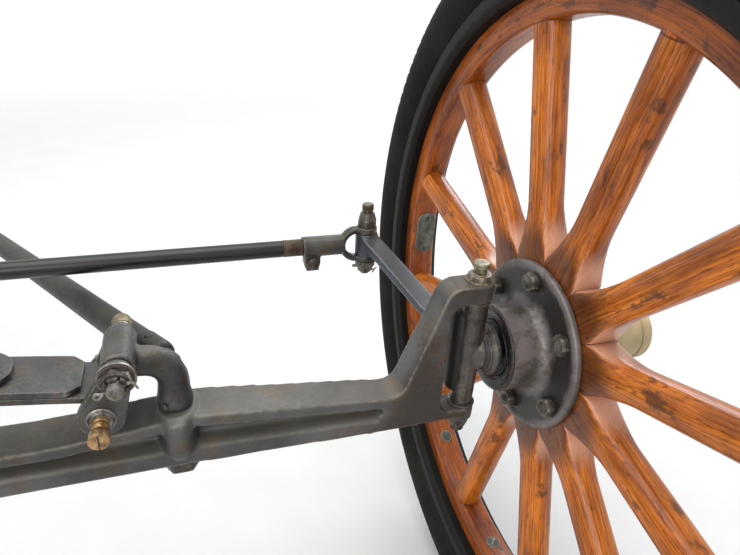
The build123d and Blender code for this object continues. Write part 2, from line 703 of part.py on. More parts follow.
# Spring perch: a gooseneck standing on the beam, its stud through the boss and its eye inboard
rod_dir = Vector(-PERCH_X, BALL_BACK, BALL_HEIGHT - ROD_HEIGHT).normalized()
rod_foot = Vector(PERCH_X, 0, HUB_Z + ROD_HEIGHT)
nut_top = BEAM_BOTTOM - SEAT_GAP
with BuildPart() as spring_perch:
    with BuildLine(fore_aft(0)):
        FilletPolyline(
            (PERCH_X, PERCH_BOSS_TOP + SEAT_GAP),
            (PERCH_X, PERCH_BEND_H),
            (PERCH_NECK_END_X, PERCH_NECK_END_H),
            radius=PERCH_BEND_R,
        )
    with BuildSketch(level(PERCH_BOSS_TOP + SEAT_GAP)):
        with Locations((PERCH_X, 0)):
            Circle(PERCH_NECK_R)
    sweep()
    with Locations((PERCH_NECK_END_X, 0, HUB_Z + PERCH_NECK_END_H)):
        Sphere(PERCH_NECK_R)
    with BuildSketch(level(PERCH_BOSS_TOP + SEAT_GAP)):
        with Locations((PERCH_X, 0)):
            Circle(PERCH_COLLAR_R)
    extrude(amount=PERCH_COLLAR_T)
    with BuildSketch(level(PERCH_BOSS_TOP + SEAT_GAP)):
        with Locations((PERCH_X, 0)):
            Circle(PERCH_SHANK_R)
    extrude(amount=nut_top - PERCH_NUT_T - STUD_PAST_NUT - PERCH_BOSS_TOP - SEAT_GAP)
    with BuildSketch(level(nut_top)):
        with Locations((PERCH_X, 0)):
            RegularPolygon(PERCH_NUT_HEX / 2, 6, major_radius=False)
    extrude(amount=-PERCH_NUT_T)
    with BuildSketch(fore_aft(-PERCH_EYE_HALF)):
        with Locations((PERCH_EYE_X, PERCH_EYE_H)):
            Circle(PERCH_EYE_R)
    extrude(amount=-2 * PERCH_EYE_HALF)
    with BuildSketch(Plane(origin=rod_foot, z_dir=rod_dir)):
        Circle(SPIGOT_R)
    extrude(amount=SPIGOT_L)
    with BuildSketch(fore_aft(-PERCH_EYE_HALF)):
        with Locations((PERCH_EYE_X, PERCH_EYE_H)):
            Circle(EYE_BORE_R)
    extrude(amount=-2 * PERCH_EYE_HALF, mode=Mode.SUBTRACT)
save_pair(spring_perch, "spring_perch")

# Shackle: two L-shaped halves, each a bar and a stud; every stud's nut is on the other half
bar_mid = ((PERCH_EYE_X + EYE_X) / 2, (PERCH_EYE_H + EYE_H) / 2)
bar_length = hypot(PERCH_EYE_X - EYE_X, PERCH_EYE_H - EYE_H)
bar_turn = degrees(atan2(PERCH_EYE_H - EYE_H, PERCH_EYE_X - EYE_X))
bar_out = BAR_FACE + SHACKLE_BAR_T
shackle_halves = (  # facing, stud x and height, the other stud's x and height
    (-1, EYE_X, EYE_H, PERCH_EYE_X, PERCH_EYE_H),
    (1, PERCH_EYE_X, PERCH_EYE_H, EYE_X, EYE_H),
)
with BuildPart() as shackle:
    for facing, stud_x, stud_h, other_x, other_h in shackle_halves:
        with BuildSketch(fore_aft(facing * BAR_FACE)):
            with Locations(bar_mid):
                SlotCenterToCenter(bar_length, 2 * SHACKLE_BAR_R, rotation=bar_turn)
            with Locations((other_x, other_h)):
                Circle(SHACKLE_PIN_R + PIN_GAP, mode=Mode.SUBTRACT)
        extrude(amount=-facing * SHACKLE_BAR_T)
        with BuildSketch(fore_aft(facing * BAR_FACE)):
            with Locations((stud_x, stud_h)):
                Circle(SHACKLE_PIN_R)
        extrude(amount=facing * (BAR_FACE + bar_out + SHACKLE_PIN_OVERHANG))
        with BuildSketch(fore_aft(-facing * (bar_out + SEAT_GAP))):
            with Locations((stud_x, stud_h)):
                RegularPolygon(SHACKLE_HEX / 2, 6, major_radius=False)
        extrude(amount=facing * SHACKLE_NUT_T)
save_pair(shackle, "shackle")

# Oilers screwed into the shackle studs' heads
with BuildPart() as shackle_oilers:
    for facing, stud_x, stud_h, _, _ in shackle_halves:
        with BuildSketch(fore_aft(facing * bar_out)):
            with Locations((stud_x, stud_h)):
                Circle(SHACKLE_OILER_R)
        extrude(amount=-facing * SHACKLE_OILER_L)
save_pair(shackle_oilers, "shackle_oilers")

# Spring clips: U-bolts under the leaves, their studs standing up through the car's frame
clip_side = LEAF_W / 2 + CLIP_GAP + CLIP_R
clip_under = MAIN_LEAF_TOP - LEAF_T - SEAT_GAP - CLIP_R
clip_top = SPRING_SEAT + CLIP_STAND
with BuildPart() as spring_clips:
    for clip_x in (-CLIP_X, CLIP_X):
        with BuildLine(side_on(clip_x)):
            FilletPolyline(
                (-clip_side, clip_top),
                (-clip_side, clip_under),
                (clip_side, clip_under),
                (clip_side, clip_top),
                radius=CLIP_BEND_R,
            )
        with BuildSketch(level(clip_top)):
            with Locations((clip_x, -clip_side)):
                Circle(CLIP_R)
        sweep()
save(spring_clips, "spring_clips")

# Rebound clips: straps around the longest leaves
strap_mid_r = LEAF_ARC_R - leaf_pitch + (REBOUND_LEAVES * leaf_pitch + LEAF_GAP) / 2
rebound_turn = asin((REBOUND_X - FLAT_HALF) / strap_mid_r)
rebound_mid = Vector(REBOUND_X, 0, HUB_Z + ARC_CENTRE_H + strap_mid_r * cos(rebound_turn))
rebound_dir = Vector(cos(rebound_turn), 0, -sin(rebound_turn))
strap_w = LEAF_W + 2 * SEAT_GAP
strap_h = REBOUND_LEAVES * leaf_pitch - LEAF_GAP + 2 * SEAT_GAP
with BuildPart() as rebound_clips:
    with BuildSketch(Plane(origin=rebound_mid, x_dir=(0, 1, 0), z_dir=rebound_dir)):
        Rectangle(strap_w + 2 * REBOUND_T, strap_h + 2 * REBOUND_T)
        Rectangle(strap_w, strap_h, mode=Mode.SUBTRACT)
    extrude(amount=REBOUND_W / 2, both=True)
    mirror(about=Plane.YZ)
save(rebound_clips, "rebound_clips")

# Radius rod: a tube from the perch back to the ball, socketed on a spigot at each end
ball_point = Vector(0, BALL_BACK, HUB_Z + BALL_HEIGHT)
rod_length = (ball_point - rod_foot).length
rod_plane = Plane(origin=rod_foot + rod_dir * ROD_START, z_dir=rod_dir)
rod_end_plane = Plane(origin=ball_point - rod_dir * ROD_END, z_dir=-rod_dir)
socket_depth = SPIGOT_L - ROD_START + SEAT_GAP
with BuildPart() as radius_rod:
    with BuildSketch(rod_plane):
        Circle(ROD_R)
    extrude(amount=rod_length - ROD_START - ROD_END)
    with BuildSketch(rod_plane):
        Circle(SPIGOT_R + SEAT_GAP)
    extrude(amount=socket_depth, mode=Mode.SUBTRACT)
    with BuildSketch(rod_end_plane):
        Circle(SPIGOT_R + SEAT_GAP)
    extrude(amount=socket_depth, mode=Mode.SUBTRACT)
save_pair(radius_rod, "radius_rod")

# Radius rod ball, forged in one with the spigots for both rods
spigot_reach = ROD_END + socket_depth - SEAT_GAP
with BuildPart() as radius_ball:
    for side in (-1, 1):
        towards_rod = Vector(-side * rod_dir.X, -rod_dir.Y, -rod_dir.Z)
        with BuildSketch(Plane(origin=ball_point, z_dir=towards_rod)):
            Circle(SPIGOT_R)
        extrude(amount=spigot_reach)
    with BuildSketch(Plane(origin=ball_point - Vector(0, BALL_NECK_R, 0), z_dir=(0, 1, 0))):
        Circle(BALL_NECK_R)
    extrude(amount=BALL_NECK_R + BALL_NECK_L)
    with Locations(ball_point + Vector(0, BALL_NECK_L, 0)):
        Sphere(BALL_R)
save(radius_ball, "radius_ball")
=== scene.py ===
import json
import math

import bmesh
import bpy
from mathutils import Matrix, Vector


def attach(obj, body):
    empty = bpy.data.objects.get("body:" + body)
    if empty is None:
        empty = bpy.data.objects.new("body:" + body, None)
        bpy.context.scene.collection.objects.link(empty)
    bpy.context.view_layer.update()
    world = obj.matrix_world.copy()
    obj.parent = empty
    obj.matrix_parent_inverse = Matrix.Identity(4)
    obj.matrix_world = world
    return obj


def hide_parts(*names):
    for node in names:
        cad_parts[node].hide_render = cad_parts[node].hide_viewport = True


# Front axle assembly of a light vintage car. Shapes are in millimetres in the CAD model's frame:
# +X is the car's left, -Y its front, +Z up. Heights are counted from the wheel centres. The left
# side is modelled and mirrored.

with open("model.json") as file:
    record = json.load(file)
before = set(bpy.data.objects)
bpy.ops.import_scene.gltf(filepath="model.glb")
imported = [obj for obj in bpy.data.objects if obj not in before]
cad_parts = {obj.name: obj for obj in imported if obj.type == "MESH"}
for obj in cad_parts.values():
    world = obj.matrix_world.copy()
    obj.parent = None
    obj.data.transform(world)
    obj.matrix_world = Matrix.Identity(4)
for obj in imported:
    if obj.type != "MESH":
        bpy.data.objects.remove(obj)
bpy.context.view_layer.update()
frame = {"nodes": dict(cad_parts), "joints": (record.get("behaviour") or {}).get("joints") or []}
scene = bpy.context.scene
joints = {joint["name"]: joint for joint in frame["joints"]}

MM = 0.001                # metres in a millimetre
LEFT = Vector((1, 0, 0))
REAR = Vector((0, 1, 0))
UP = Vector((0, 0, 1))


def pivot(name):
    """A joint's place in millimetres."""
    return Vector(joints[name]["pos_m"]) / MM


wheel_centre = pivot("wheel_left_spin")
kingpin = pivot("steer_left")
tie_pin = pivot("tie_rod_pivot_left")
outward = Vector(joints["wheel_left_spin"]["axis"])
wheel_up = outward.cross(REAR)


def at(x, y, height):
    """Point at a height over the wheel centres."""
    return Vector((x, y, wheel_centre.z + height))


def on_wheel(angle, radius, along):
    """Point on the left wheel: degrees from the rear towards the top, radius, distance outboard
    of the middle of the spokes."""
    turn = math.radians(angle)
    spoke = REAR * math.cos(turn) + wheel_up * math.sin(turn)
    return wheel_centre + spoke * radius + outward * along


# Shapes

def rounded(corners, steps, closed=True):
    """Points along a line of corners, each given by its coordinates and the radius of its arc."""
    points = []
    for index, (*place, radius) in enumerate(corners):
        corner = Vector(place).to_3d()
        ends = not closed and index in (0, len(corners) - 1)
        if not radius or ends:
            points.append(corner)
            continue
        back = (Vector(corners[index - 1][:-1]).to_3d() - corner).normalized()
        ahead = Vector(corners[(index + 1) % len(corners)][:-1]).to_3d() - corner
        ahead.normalize()
        half = back.angle(ahead) / 2
        centre = corner + (back + ahead).normalized() * (radius / math.sin(half))
        start = corner + back * (radius / math.tan(half)) - centre
        end = corner + ahead * (radius / math.tan(half)) - centre
        sweep = start.angle(end)
        for step in range(steps + 1):
            part = step / steps
            arm = start * math.sin((1 - part) * sweep) + end * math.sin(part * sweep)
            points.append(centre + arm / math.sin(sweep))
    return points


def circle(radius, steps):
    """Outline of a circle."""
    turns = [math.tau * step / steps for step in range(steps)]
    return [Vector((radius * math.cos(turn), radius * math.sin(turn), 0)) for turn in turns]


def oval(half_width, half_height, squareness):
    """Outline between an ellipse, at squareness 2, and a box."""
    steps = 32
    points = []
    for step in range(steps):
        c = math.cos(math.tau * step / steps)
        s = math.sin(math.tau * step / steps)
        x = math.copysign(abs(c) ** (2 / squareness), c) * half_width
        y = math.copysign(abs(s) ** (2 / squareness), s) * half_height
        points.append(Vector((x, y, 0)))
    return points


def boxed(half_width, half_height, corner, steps):
    """Outline of a box with round corners."""
    corners = ((-1, -1), (1, -1), (1, 1), (-1, 1))
    return rounded([(a * half_width, b * half_height, corner) for a, b in corners], steps)


def inset(outline, distance):
    """A flat outline moved inward, to the left of its own direction."""
    moved = []
    for index, point in enumerate(outline):
        before = (point - outline[index - 1]).normalized()
        after = (outline[(index + 1) % len(outline)] - point).normalized()
        inward = Vector((-before.y - after.y, before.x + after.x, 0))
        square = max(inward.length_squared, 0.4)
        moved.append(point + inward * (2 * distance / square))
    return moved


def square_to(axis):
    """A direction at a right angle to an axis."""
    side = LEFT if abs(axis.dot(REAR)) > 0.9 else REAR
    return (side - axis * side.dot(axis)).normalized()


def pin_line(radius, length):
    """Outline of a plain pin, to be turned."""
    return [(0, 0), (0, radius), (length, radius), (length, 0)]


class Form:
    """A surface built from rings of points. Each point keeps its place in the uncut stuff, its
    grain, for finishes that run along the piece."""

    def __init__(self):
        self.mesh = bmesh.new()
        self.mesh.verts.layers.float_vector.new("grain")

    def skin(self, rings, closed=False, place=None, shift=Vector()):
        """Join rings of equally many points; an open skin gets flat ends. place moves a point
        from the uncut stuff to the assembly."""
        grain = self.mesh.verts.layers.float_vector["grain"]
        rows = []
        for ring in rings:
            row = []
            for point in ring:
                vertex = self.mesh.verts.new(place(point) if place else point)
                vertex[grain] = point + shift
                row.append(vertex)
            rows.append(row)
        for row, after in zip(rows, rows[1:] + (rows[:1] if closed else [])):
            for index in range(len(row)):
                self.mesh.faces.new(
                    (row[index - 1], row[index], after[index], after[index - 1])
                )
        if not closed:
            self.mesh.faces.new(rows[0][::-1])
            self.mesh.faces.new(rows[-1])
        return self

    def turned(self, outline, origin, axis, steps, flats=0, turn=0, closed=False):
        """Turn an outline of (along, radius) points about an axis. flats limits it to a hexagon
        of that width."""
        u = square_to(axis)
        v = axis.cross(u)
        rings = []
        for along, radius, *_ in outline:
            ring = []
            for step in range(steps):
                angle = math.tau * step / steps
                reach = max(radius, 0.02)
                if flats:
                    off_flat = (angle + math.pi / 6) % (math.pi / 3) - math.pi / 6
                    reach = min(reach, flats / 2 / math.cos(off_flat))
                angle += math.radians(turn)
                arm = u * math.cos(angle) + v * math.sin(angle)
                ring.append(origin + axis * along + arm * reach)
            rings.append(ring)
        return self.skin(rings, closed)

    def slab(self, outline, origin, across, normal, thickness, edge, steps=3):
        """Give an outline, turning left, a thickness along the normal with rounded edges."""
        upward = normal.cross(across)
        depths = [(edge - edge * math.cos(math.pi / 2 * s / steps),
                   edge - edge * math.sin(math.pi / 2 * s / steps)) for s in range(steps + 1)]
        depths += [(thickness - depth, back) for depth, back in reversed(depths)]
        rings = []
        for depth, back in depths:
            flat = inset(outline, back)
            rings.append([origin + across * p.x + upward * p.y + normal * depth for p in flat])
        return self.skin(rings)

    def tube(self, path, section, up=REAR, closed=False):
        """Sweep a section of (sideways, up) points along a path, or a list of sections."""
        sections = section if isinstance(section[0], list) else [section] * len(path)
        rings = []
        for index, point in enumerate(path):
            first = not closed and index == 0
            last = not closed and index == len(path) - 1
            before = point if first else path[index - 1]
            after = point if last else path[(index + 1) % len(path)]
            ahead = (after - before).normalized()
            side = ahead.cross(up).normalized()
            upward = side.cross(ahead)
            rings.append([point + side * p.x + upward * p.y for p in sections[index]])
        return self.skin(rings, closed)

    def copy(self):
        """A second form of the same shape."""
        twin = Form()
        twin.mesh = self.mesh.copy()
        return twin

    def take(self, other, place):
        """Add another form, moved by a matrix."""
        held = bpy.data.meshes.new("held")
        other.mesh.to_mesh(held)
        held.transform(place)
        self.mesh.from_mesh(held)
        bpy.data.meshes.remove(held)
        return self

    def copy_node(self, name):
        """Add a copy of a CAD node's surface."""
        held = frame["nodes"][name].data.copy()
        held.transform(Matrix.Scale(1 / MM, 4))
        self.mesh.from_mesh(held)
        bpy.data.meshes.remove(held)
        bmesh.ops.remove_doubles(self.mesh, verts=self.mesh.verts, dist=0.01)
        return self

    def reshape(self, *steps):
        """Run modifiers over the form, each a type and its settings."""
        bmesh.ops.recalc_face_normals(self.mesh, faces=self.mesh.faces)
        holder = bpy.data.objects.new("holder", bpy.data.meshes.new("holder"))
        self.mesh.to_mesh(holder.data)
        scene.collection.objects.link(holder)
        for kind, settings in steps:
            modifier = holder.modifiers.new(kind, kind)
            for name, value in settings.items():
                setattr(modifier, name, value)
        shaped = bpy.data.meshes.new_from_object(
            holder.evaluated_get(bpy.context.evaluated_depsgraph_get())
        )
        self.mesh.clear()
        self.mesh.from_mesh(shaped)
        for data in (shaped, holder.data):
            bpy.data.meshes.remove(data)
        return self

    def cut(self, other):
        """Take another form's volume away."""
        bmesh.ops.recalc_face_normals(other.mesh, faces=other.mesh.faces)
        cutter = bpy.data.objects.new("cutter", bpy.data.meshes.new("cutter"))
        other.mesh.to_mesh(cutter.data)
        scene.collection.objects.link(cutter)
        self.reshape(("BOOLEAN", {"operation": "DIFFERENCE", "object": cutter}))
        bpy.data.meshes.remove(cutter.data)
        return self

    def forged(self, voxel, smoothing=4):
        """Melt the form into one surface with soft corners, like a forging."""
        return self.reshape(
            ("REMESH", {"mode": "VOXEL", "voxel_size": voxel}),
            ("SMOOTH", {"factor": 0.5, "iterations": smoothing}),
        )


def piece(name, form, body, finish, replaces, crease=38):
    """Put a form in the scene, riding on a CAD body and standing for CAD nodes."""
    bmesh.ops.recalc_face_normals(form.mesh, faces=form.mesh.faces)
    mesh = bpy.data.meshes.new(name)
    form.mesh.to_mesh(mesh)
    mesh.transform(Matrix.Scale(MM, 4))
    mesh.shade_smooth()
    mesh.set_sharp_from_angle(angle=math.radians(crease))
    mesh.materials.append(finish)
    made = bpy.data.objects.new(name, mesh)
    scene.collection.objects.link(made)
    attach(made, body)
    if replaces:
        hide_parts(*replaces)
    return made


def pair(name, form, bodies, finish, replaces=(), crease=38):
    """The left piece and its mirror image on the car's right."""
    for side, body in zip(("left", "right"), bodies):
        nodes = [f"{node}_{side}" for node in replaces]
        piece(f"{name}_{side}", form, body, finish, nodes, crease)
        bmesh.ops.scale(form.mesh, vec=(-1, 1, 1), verts=form.mesh.verts)


# Finishes

def colour(code):
    """An sRGB hex code as a linear colour."""
    parts = [int(code[i:i + 2], 16) / 255 for i in (1, 3, 5)]
    linear = [p / 12.92 if p <= 0.04045 else ((p + 0.055) / 1.055) ** 2.4 for p in parts]
    return (*linear, 1)


def new_finish(name):
    """An empty material and its node tree."""
    material = bpy.data.materials.new(name)
    material.use_nodes = True
    material.node_tree.nodes.clear()
    return material, material.node_tree


def add(tree, kind, inputs, output=0, **settings):
    """Add a shader node with its settings and links, and return one of its outputs. An input
    takes a value or another node's output."""
    made = tree.nodes.new(f"ShaderNode{kind}")
    for name, value in settings.items():
        setattr(made, name, value)
    for name, value in inputs.items():
        if isinstance(value, bpy.types.NodeSocket):
            tree.links.new(value, made.inputs[name])
        else:
            made.inputs[name].default_value = value
    return made.outputs[output] if made.outputs else None


def cloudy(tree, places, size, detail, rough, stretch=(1, 1, 1), shift=0.0):
    """Cloudy pattern of that size in millimetres, about 0 to 1; places are in millimetres."""
    scale = tuple(1 / (size * s) for s in stretch)
    spot = add(tree, "Mapping", {"Vector": places, "Location": (shift,) * 3, "Scale": scale})
    inputs = {"Vector": spot, "Scale": 1.0, "Detail": detail, "Roughness": rough}
    return add(tree, "TexNoise", inputs)


def mask(tree, *limits):
    """1 where every pattern is past the second of its two limits, 0 where one is before the
    first, smooth between."""
    product = 1.0
    for pattern, before, past in limits:
        part = add(tree, "MapRange", {0: pattern, 1: before, 2: past},
                   interpolation_type="SMOOTHSTEP")
        product = add(tree, "Math", {0: product, 1: part}, operation="MULTIPLY")
    return product


def laid_on(tree, shade, cover, amount, code):
    """A colour laid over another as far as the cover and the amount say."""
    part = add(tree, "Math", {0: cover, 1: amount}, operation="MULTIPLY")
    return add(tree, "Mix", {0: part, 6: shade, 7: colour(code)}, 2, data_type="RGBA")


def mottled(tree, shade, pattern, dark, light):
    """A colour multiplied by a dark and a light tint that follow a pattern."""
    tint = add(tree, "Mix", {0: pattern, 6: dark, 7: light}, 2, data_type="RGBA")
    return add(tree, "Mix", {0: 1.0, 6: shade, 7: tint}, 2, data_type="RGBA",
               blend_type="MULTIPLY")


def close_finish(tree, look, height, bump_mm):
    """Add the relief, the shader with the look's inputs, and the output."""
    look["Normal"] = add(tree, "Bump", {"Height": height, "Distance": bump_mm * MM})
    add(tree, "OutputMaterial", {"Surface": add(tree, "BsdfPrincipled", look)})


def iron(name, base, patch, worn, patches, patch_mm, wear, smooth, rough, metal, bump,
         pit_mm=1.4, dust=0.0, coat=0.0, grimy=None, shine=0.5):
    """Bare, rusted, greased or painted metal, and rubber: patches of a second colour, a third
    one worn through on the edges, a finely pitted surface and dust on what faces up. patches
    and wear go from 0 to 1, smooth and rough are the lowest and the highest roughness, and
    bump is the relief's depth in millimetres. grimy gives two distances from the wheel's axis
    between which it is black with grease. shine under 0.5 takes the gloss off. Real pits are
    a few tenths of a millimetre wide, too fine to show, so they are drawn at pit_mm."""
    material, tree = new_finish(name)
    spots = add(tree, "TexCoord", {}, "Object")
    places = add(tree, "VectorMath", {0: spots, "Scale": 1 / MM}, operation="SCALE")
    clouds = cloudy(tree, places, patch_mm, 7.0, 0.62)
    speckle = cloudy(tree, places, patch_mm / 7, 5.0, 0.6, shift=3.1)
    mixed = add(tree, "Math", {0: speckle, 1: 0.35, 2: clouds}, operation="MULTIPLY_ADD")
    edge = 0.80 - 0.36 * patches
    shade = laid_on(tree, colour(base), mask(tree, (mixed, edge, edge + 0.10)), 1.0, patch)
    tone = cloudy(tree, places, patch_mm * 2.3, 3.0, 0.5, shift=7.7)
    shade = mottled(tree, shade, mask(tree, (tone, 0.35, 0.7)), (0.55, 0.55, 0.55, 1),
                    (1.2, 1.2, 1.2, 1))
    if grimy:
        inner, outer = grimy
        off_axis = add(tree, "Mapping", {"Vector": places, "Scale": (0, 1, 1),
                                         "Location": (0, -wheel_centre.y, -wheel_centre.z)})
        reach = add(tree, "VectorMath", {0: off_axis}, "Value", operation="LENGTH")
        reach = add(tree, "Math", {0: clouds, 1: 16.0, 2: reach}, operation="MULTIPLY_ADD")
        film = mask(tree, (reach, inner + 4, inner + 14), (reach, outer + 12, outer + 6))
        shade = laid_on(tree, shade, film, 0.92, "#1C1A17")
    if wear:
        ridges = add(tree, "NewGeometry", {}, "Pointiness")
        rubbed = mask(tree, (ridges, 0.51, 0.59), (speckle, 0.62 - 0.4 * wear, 0.72))
        shade = laid_on(tree, shade, rubbed, 1.0, worn)
    if dust:
        facing_up = add(tree, "SeparateXYZ", {0: add(tree, "NewGeometry", {}, "Normal")}, 2)
        settled = add(tree, "Math", {0: mask(tree, (facing_up, 0.3, 0.95)), 1: clouds},
                      operation="MULTIPLY")
        shade = laid_on(tree, shade, settled, dust, "#8F897C")
    pits = cloudy(tree, places, pit_mm, 3.0, 0.6)
    height = add(tree, "Math", {0: speckle, 1: 0.8, 2: pits}, operation="MULTIPLY_ADD")
    close_finish(tree, {
        "Base Color": shade, "Metallic": metal, "Specular IOR Level": shine,
        "Roughness": add(tree, "MapRange", {0: speckle, 1: 0.3, 2: 0.7, 3: smooth, 4: rough}),
        "Coat Weight": coat, "Coat Roughness": 0.12,
    }, height, bump)
    return material


def varnished(name, dark, light, pore, joint_r=0.0):
    """Varnished wood: growth rings cut at a slant, streaks and short dark pores along the grain
    under a clear coat. A spoke gets a dark joint where it enters the felloe, and a root that
    is oily on its flats and pale on its sides, from bleached varnish and a painted sheen."""
    material, tree = new_finish(name)
    grain = add(tree, "Attribute", {}, "Vector", attribute_name="grain")
    sway = cloudy(tree, grain, 30.0, 2.0, 0.5, (1, 1, 6))
    ring_place = add(tree, "Mapping", {"Vector": grain, "Location": (70.0, 40.0, 0.0),
                                       "Scale": (1.0, 1.0, 0.03)})
    ring_r = add(tree, "VectorMath", {0: ring_place}, "Value", operation="LENGTH")
    ring_r = add(tree, "Math", {0: sway, 1: 16.0, 2: ring_r}, operation="MULTIPLY_ADD")
    ring_w = add(tree, "Math", {0: ring_r, 1: 0.5}, operation="MULTIPLY")
    rings = add(tree, "TexNoise", {"W": ring_w, "Scale": 1.0, "Detail": 4.0, "Roughness": 0.7},
                noise_dimensions="1D")
    # Real pores and streaks are under half as wide, too fine to show in the picture
    streaks = cloudy(tree, grain, 1.3, 4.0, 0.65, (1, 1, 34))
    pores = cloudy(tree, grain, 0.6, 2.0, 0.5, (1, 1, 16), shift=5.0)
    clouds = cloudy(tree, grain, 26.0, 4.0, 0.6, (1, 1, 3), shift=9.0)
    stains = cloudy(tree, grain, 15.0, 5.0, 0.65, (1, 1, 1.8), shift=21.0)
    figure = add(tree, "Math", {0: rings, 1: 0.4}, operation="MULTIPLY")
    figure = add(tree, "Math", {0: streaks, 1: 0.6, 2: figure}, operation="MULTIPLY_ADD")
    shade = laid_on(tree, colour(dark), mask(tree, (figure, 0.32, 0.65)), 1.0, light)
    shade = mottled(tree, shade, mask(tree, (clouds, 0.32, 0.66)), (0.5, 0.42, 0.36, 1),
                    (1.15, 1.15, 1.1, 1))
    dots = mask(tree, (pores, 0.58, 0.68), (rings, 0.66, 0.42))
    shade = laid_on(tree, shade, dots, 0.75, pore)
    shade = laid_on(tree, shade, mask(tree, (stains, 0.565, 0.66)), 0.68, "#2A1A10")
    if joint_r:
        joint_w = 0.7  # the joint's soft edge
        root_from, root_full = 122.0, 94.0  # distances from the wheel's axis
        along = add(tree, "SeparateXYZ", {0: grain}, 2)
        near = mask(tree, (along, joint_r - joint_w, joint_r),
                    (along, joint_r + 2 * joint_w, joint_r + joint_w))
        shade = laid_on(tree, shade, near, 0.8, "#33180A")
        sideways = add(tree, "SeparateXYZ", {0: add(tree, "NewGeometry", {}, "Normal")})
        axial = add(tree, "Math", {0: sideways}, operation="ABSOLUTE")
        oily = mask(tree, (along, root_from, root_full), (axial, 0.6, 0.92))
        shade = laid_on(tree, shade, oily, 0.7, "#2E160A")
        # Painted sheen: the sides' pale stands partly for light reflected off them, partly for
        # bleached varnish
        bleached_and_sheen = mask(tree, (along, root_from, root_full), (axial, 0.7, 0.4))
        shade = laid_on(tree, shade, bleached_and_sheen, 0.75, "#D2A48C")
    height = add(tree, "Math", {0: streaks, 1: 0.5}, operation="MULTIPLY")
    height = add(tree, "Math", {0: height, 1: dots}, operation="SUBTRACT")
    close_finish(tree, {
        "Base Color": shade, "Specular IOR Level": 0.2, "Coat Weight": 0.42,
        "Coat Roughness": 0.2,
        "Roughness": add(tree, "MapRange", {0: clouds, 1: 0.3, 2: 0.7, 3: 0.42, 4: 0.56}),
    }, height, 0.12)
    return material


# After each finish's name come its base colour, its patches' colour and the colour worn through
# on its edges, then the share and the size of its patches, its wear, its lowest and highest
# roughness, its metallic share and its relief.

# Forged iron, its black worn to a dusty grey with brown patches and thin bright edges
axle_iron = iron("worn_forged_iron", "#575654", "#5A4F44", "#A8A49C", 0.25, 30, 0.8, 0.4, 0.62,
                 0.4, 0.22, dust=0.4)
# The same iron under a film of oil, so browner and smoother
oily_iron = iron("oily_forged_iron", "#544E48", "#3F3831", "#8A8478", 0.35, 14, 0.5, 0.3, 0.52,
                 0.4, 0.12, coat=0.2)
# Hub forging rubbed to a purplish grey satin, black with grease around its bolts
hub_iron = iron("greasy_hub_iron", "#6E6867", "#5A524C", "#9A989A", 0.35, 18, 0.4, 0.36, 0.55,
                0.35, 0.14, coat=0.1, grimy=(46, 70))
# Wet black grease, glossy and lumpy
grease = iron("wet_grease", "#070605", "#4A2C14", "#1A1612", 0.12, 5, 0.0, 0.18, 0.32, 0.0, 0.6,
              pit_mm=2.4, coat=0.25)
# Painted shade of the gap behind each knuckle's post, partly black oil dried on, without shine
oil_and_gap_shade = iron("dried_oil_and_painted_gap_shade", "#0D0C0B", "#17120D", "#1E1A16", 0.4, 8, 0.2, 0.45, 0.65, 0.0,
               0.2, pit_mm=2.0)
# Dull steel with brown grease on the nuts and bolts
bolt_steel = iron("greased_bolt_steel", "#55514B", "#38332E", "#8E877C", 0.45, 6, 0.7, 0.36, 0.58,
                  0.5, 0.12, coat=0.1)
# Yellowish grey steel, bare where a spanner has held it
pin_steel = iron("rubbed_pin_steel", "#8C8570", "#5A523F", "#C4BCA0", 0.4, 7, 0.8, 0.34, 0.52,
                 0.55, 0.08)
# Olive grey steel of a hexagon, brighter along its edges
spanner_steel = iron("spanner_worn_steel", "#625D50", "#4B4539", "#B4AB98", 0.4, 7, 0.8, 0.34,
                     0.52, 0.5, 0.08)
# Smooth grey-blue satin of a forging that hands and rags have polished
arm_iron = iron("satin_forged_iron", "#545B63", "#4E5054", "#8D9194", 0.2, 40, 0.5, 0.34, 0.46,
                0.45, 0.08, dust=0.3)
# Oily grey-brown iron with bright edges
yoke_iron = iron("oily_yoke_iron", "#4F4F4C", "#554C40", "#98948A", 0.35, 14, 0.8, 0.33, 0.5,
                 0.45, 0.14, coat=0.1)
# Brown oily rust on nuts that nobody has turned for years
dark_bolt = iron("oiled_rusty_nut", "#4A403A", "#332B26", "#83786E", 0.5, 5, 0.4, 0.36, 0.55,
                 0.4, 0.14)
# Bare steel of washers and sleeves, the brightest on the axle
washer_steel = iron("bare_washer_steel", "#6C6E6A", "#4A443A", "#B8B8B0", 0.4, 6, 0.8, 0.25, 0.45,
                    0.85, 0.06)
# Grey steel of the studs' ends and their split pins
stud_steel = iron("grey_stud_steel", "#77756F", "#5B5348", "#B8B4AC", 0.35, 5, 0.7, 0.36, 0.52,
                  0.5, 0.06)
# Old threads, brown with rust and dust in their grooves
rusty_thread = iron("rusty_thread", "#5E4A35", "#42362A", "#8A7050", 0.4, 5, 0.5, 0.5, 0.7, 0.3,
                    0.1, dust=0.2)
# Grease gone yellowish brown and hard
yellow_grease = iron("yellowed_grease", "#6E624A", "#4A4032", "#8A7C5E", 0.4, 5, 0.3, 0.45, 0.65,
                     0.0, 0.3, pit_mm=2.0)
# Worn satin iron of the gooseneck, rubbed brown and grey
perch_iron = iron("worn_perch_iron", "#4C4E4E", "#4A433C", "#A09D98", 0.4, 12, 0.8, 0.36, 0.56,
                  0.45, 0.3, dust=0.2)
# Grey spring steel with brown patches, bright along the leaves' edges
leaf_steel = iron("spring_leaf_steel", "#3D3F40", "#4A3F35", "#9AA0A2", 0.4, 18, 0.9, 0.3, 0.52,
                  0.5, 0.14, dust=0.2)
# Smooth satin black paint of the tie rod
rod_paint = iron("tie_rod_paint", "#202124", "#272625", "#5A5A58", 0.4, 60, 0.0, 0.28, 0.36, 0.2,
                 0.02, pit_mm=3.0)
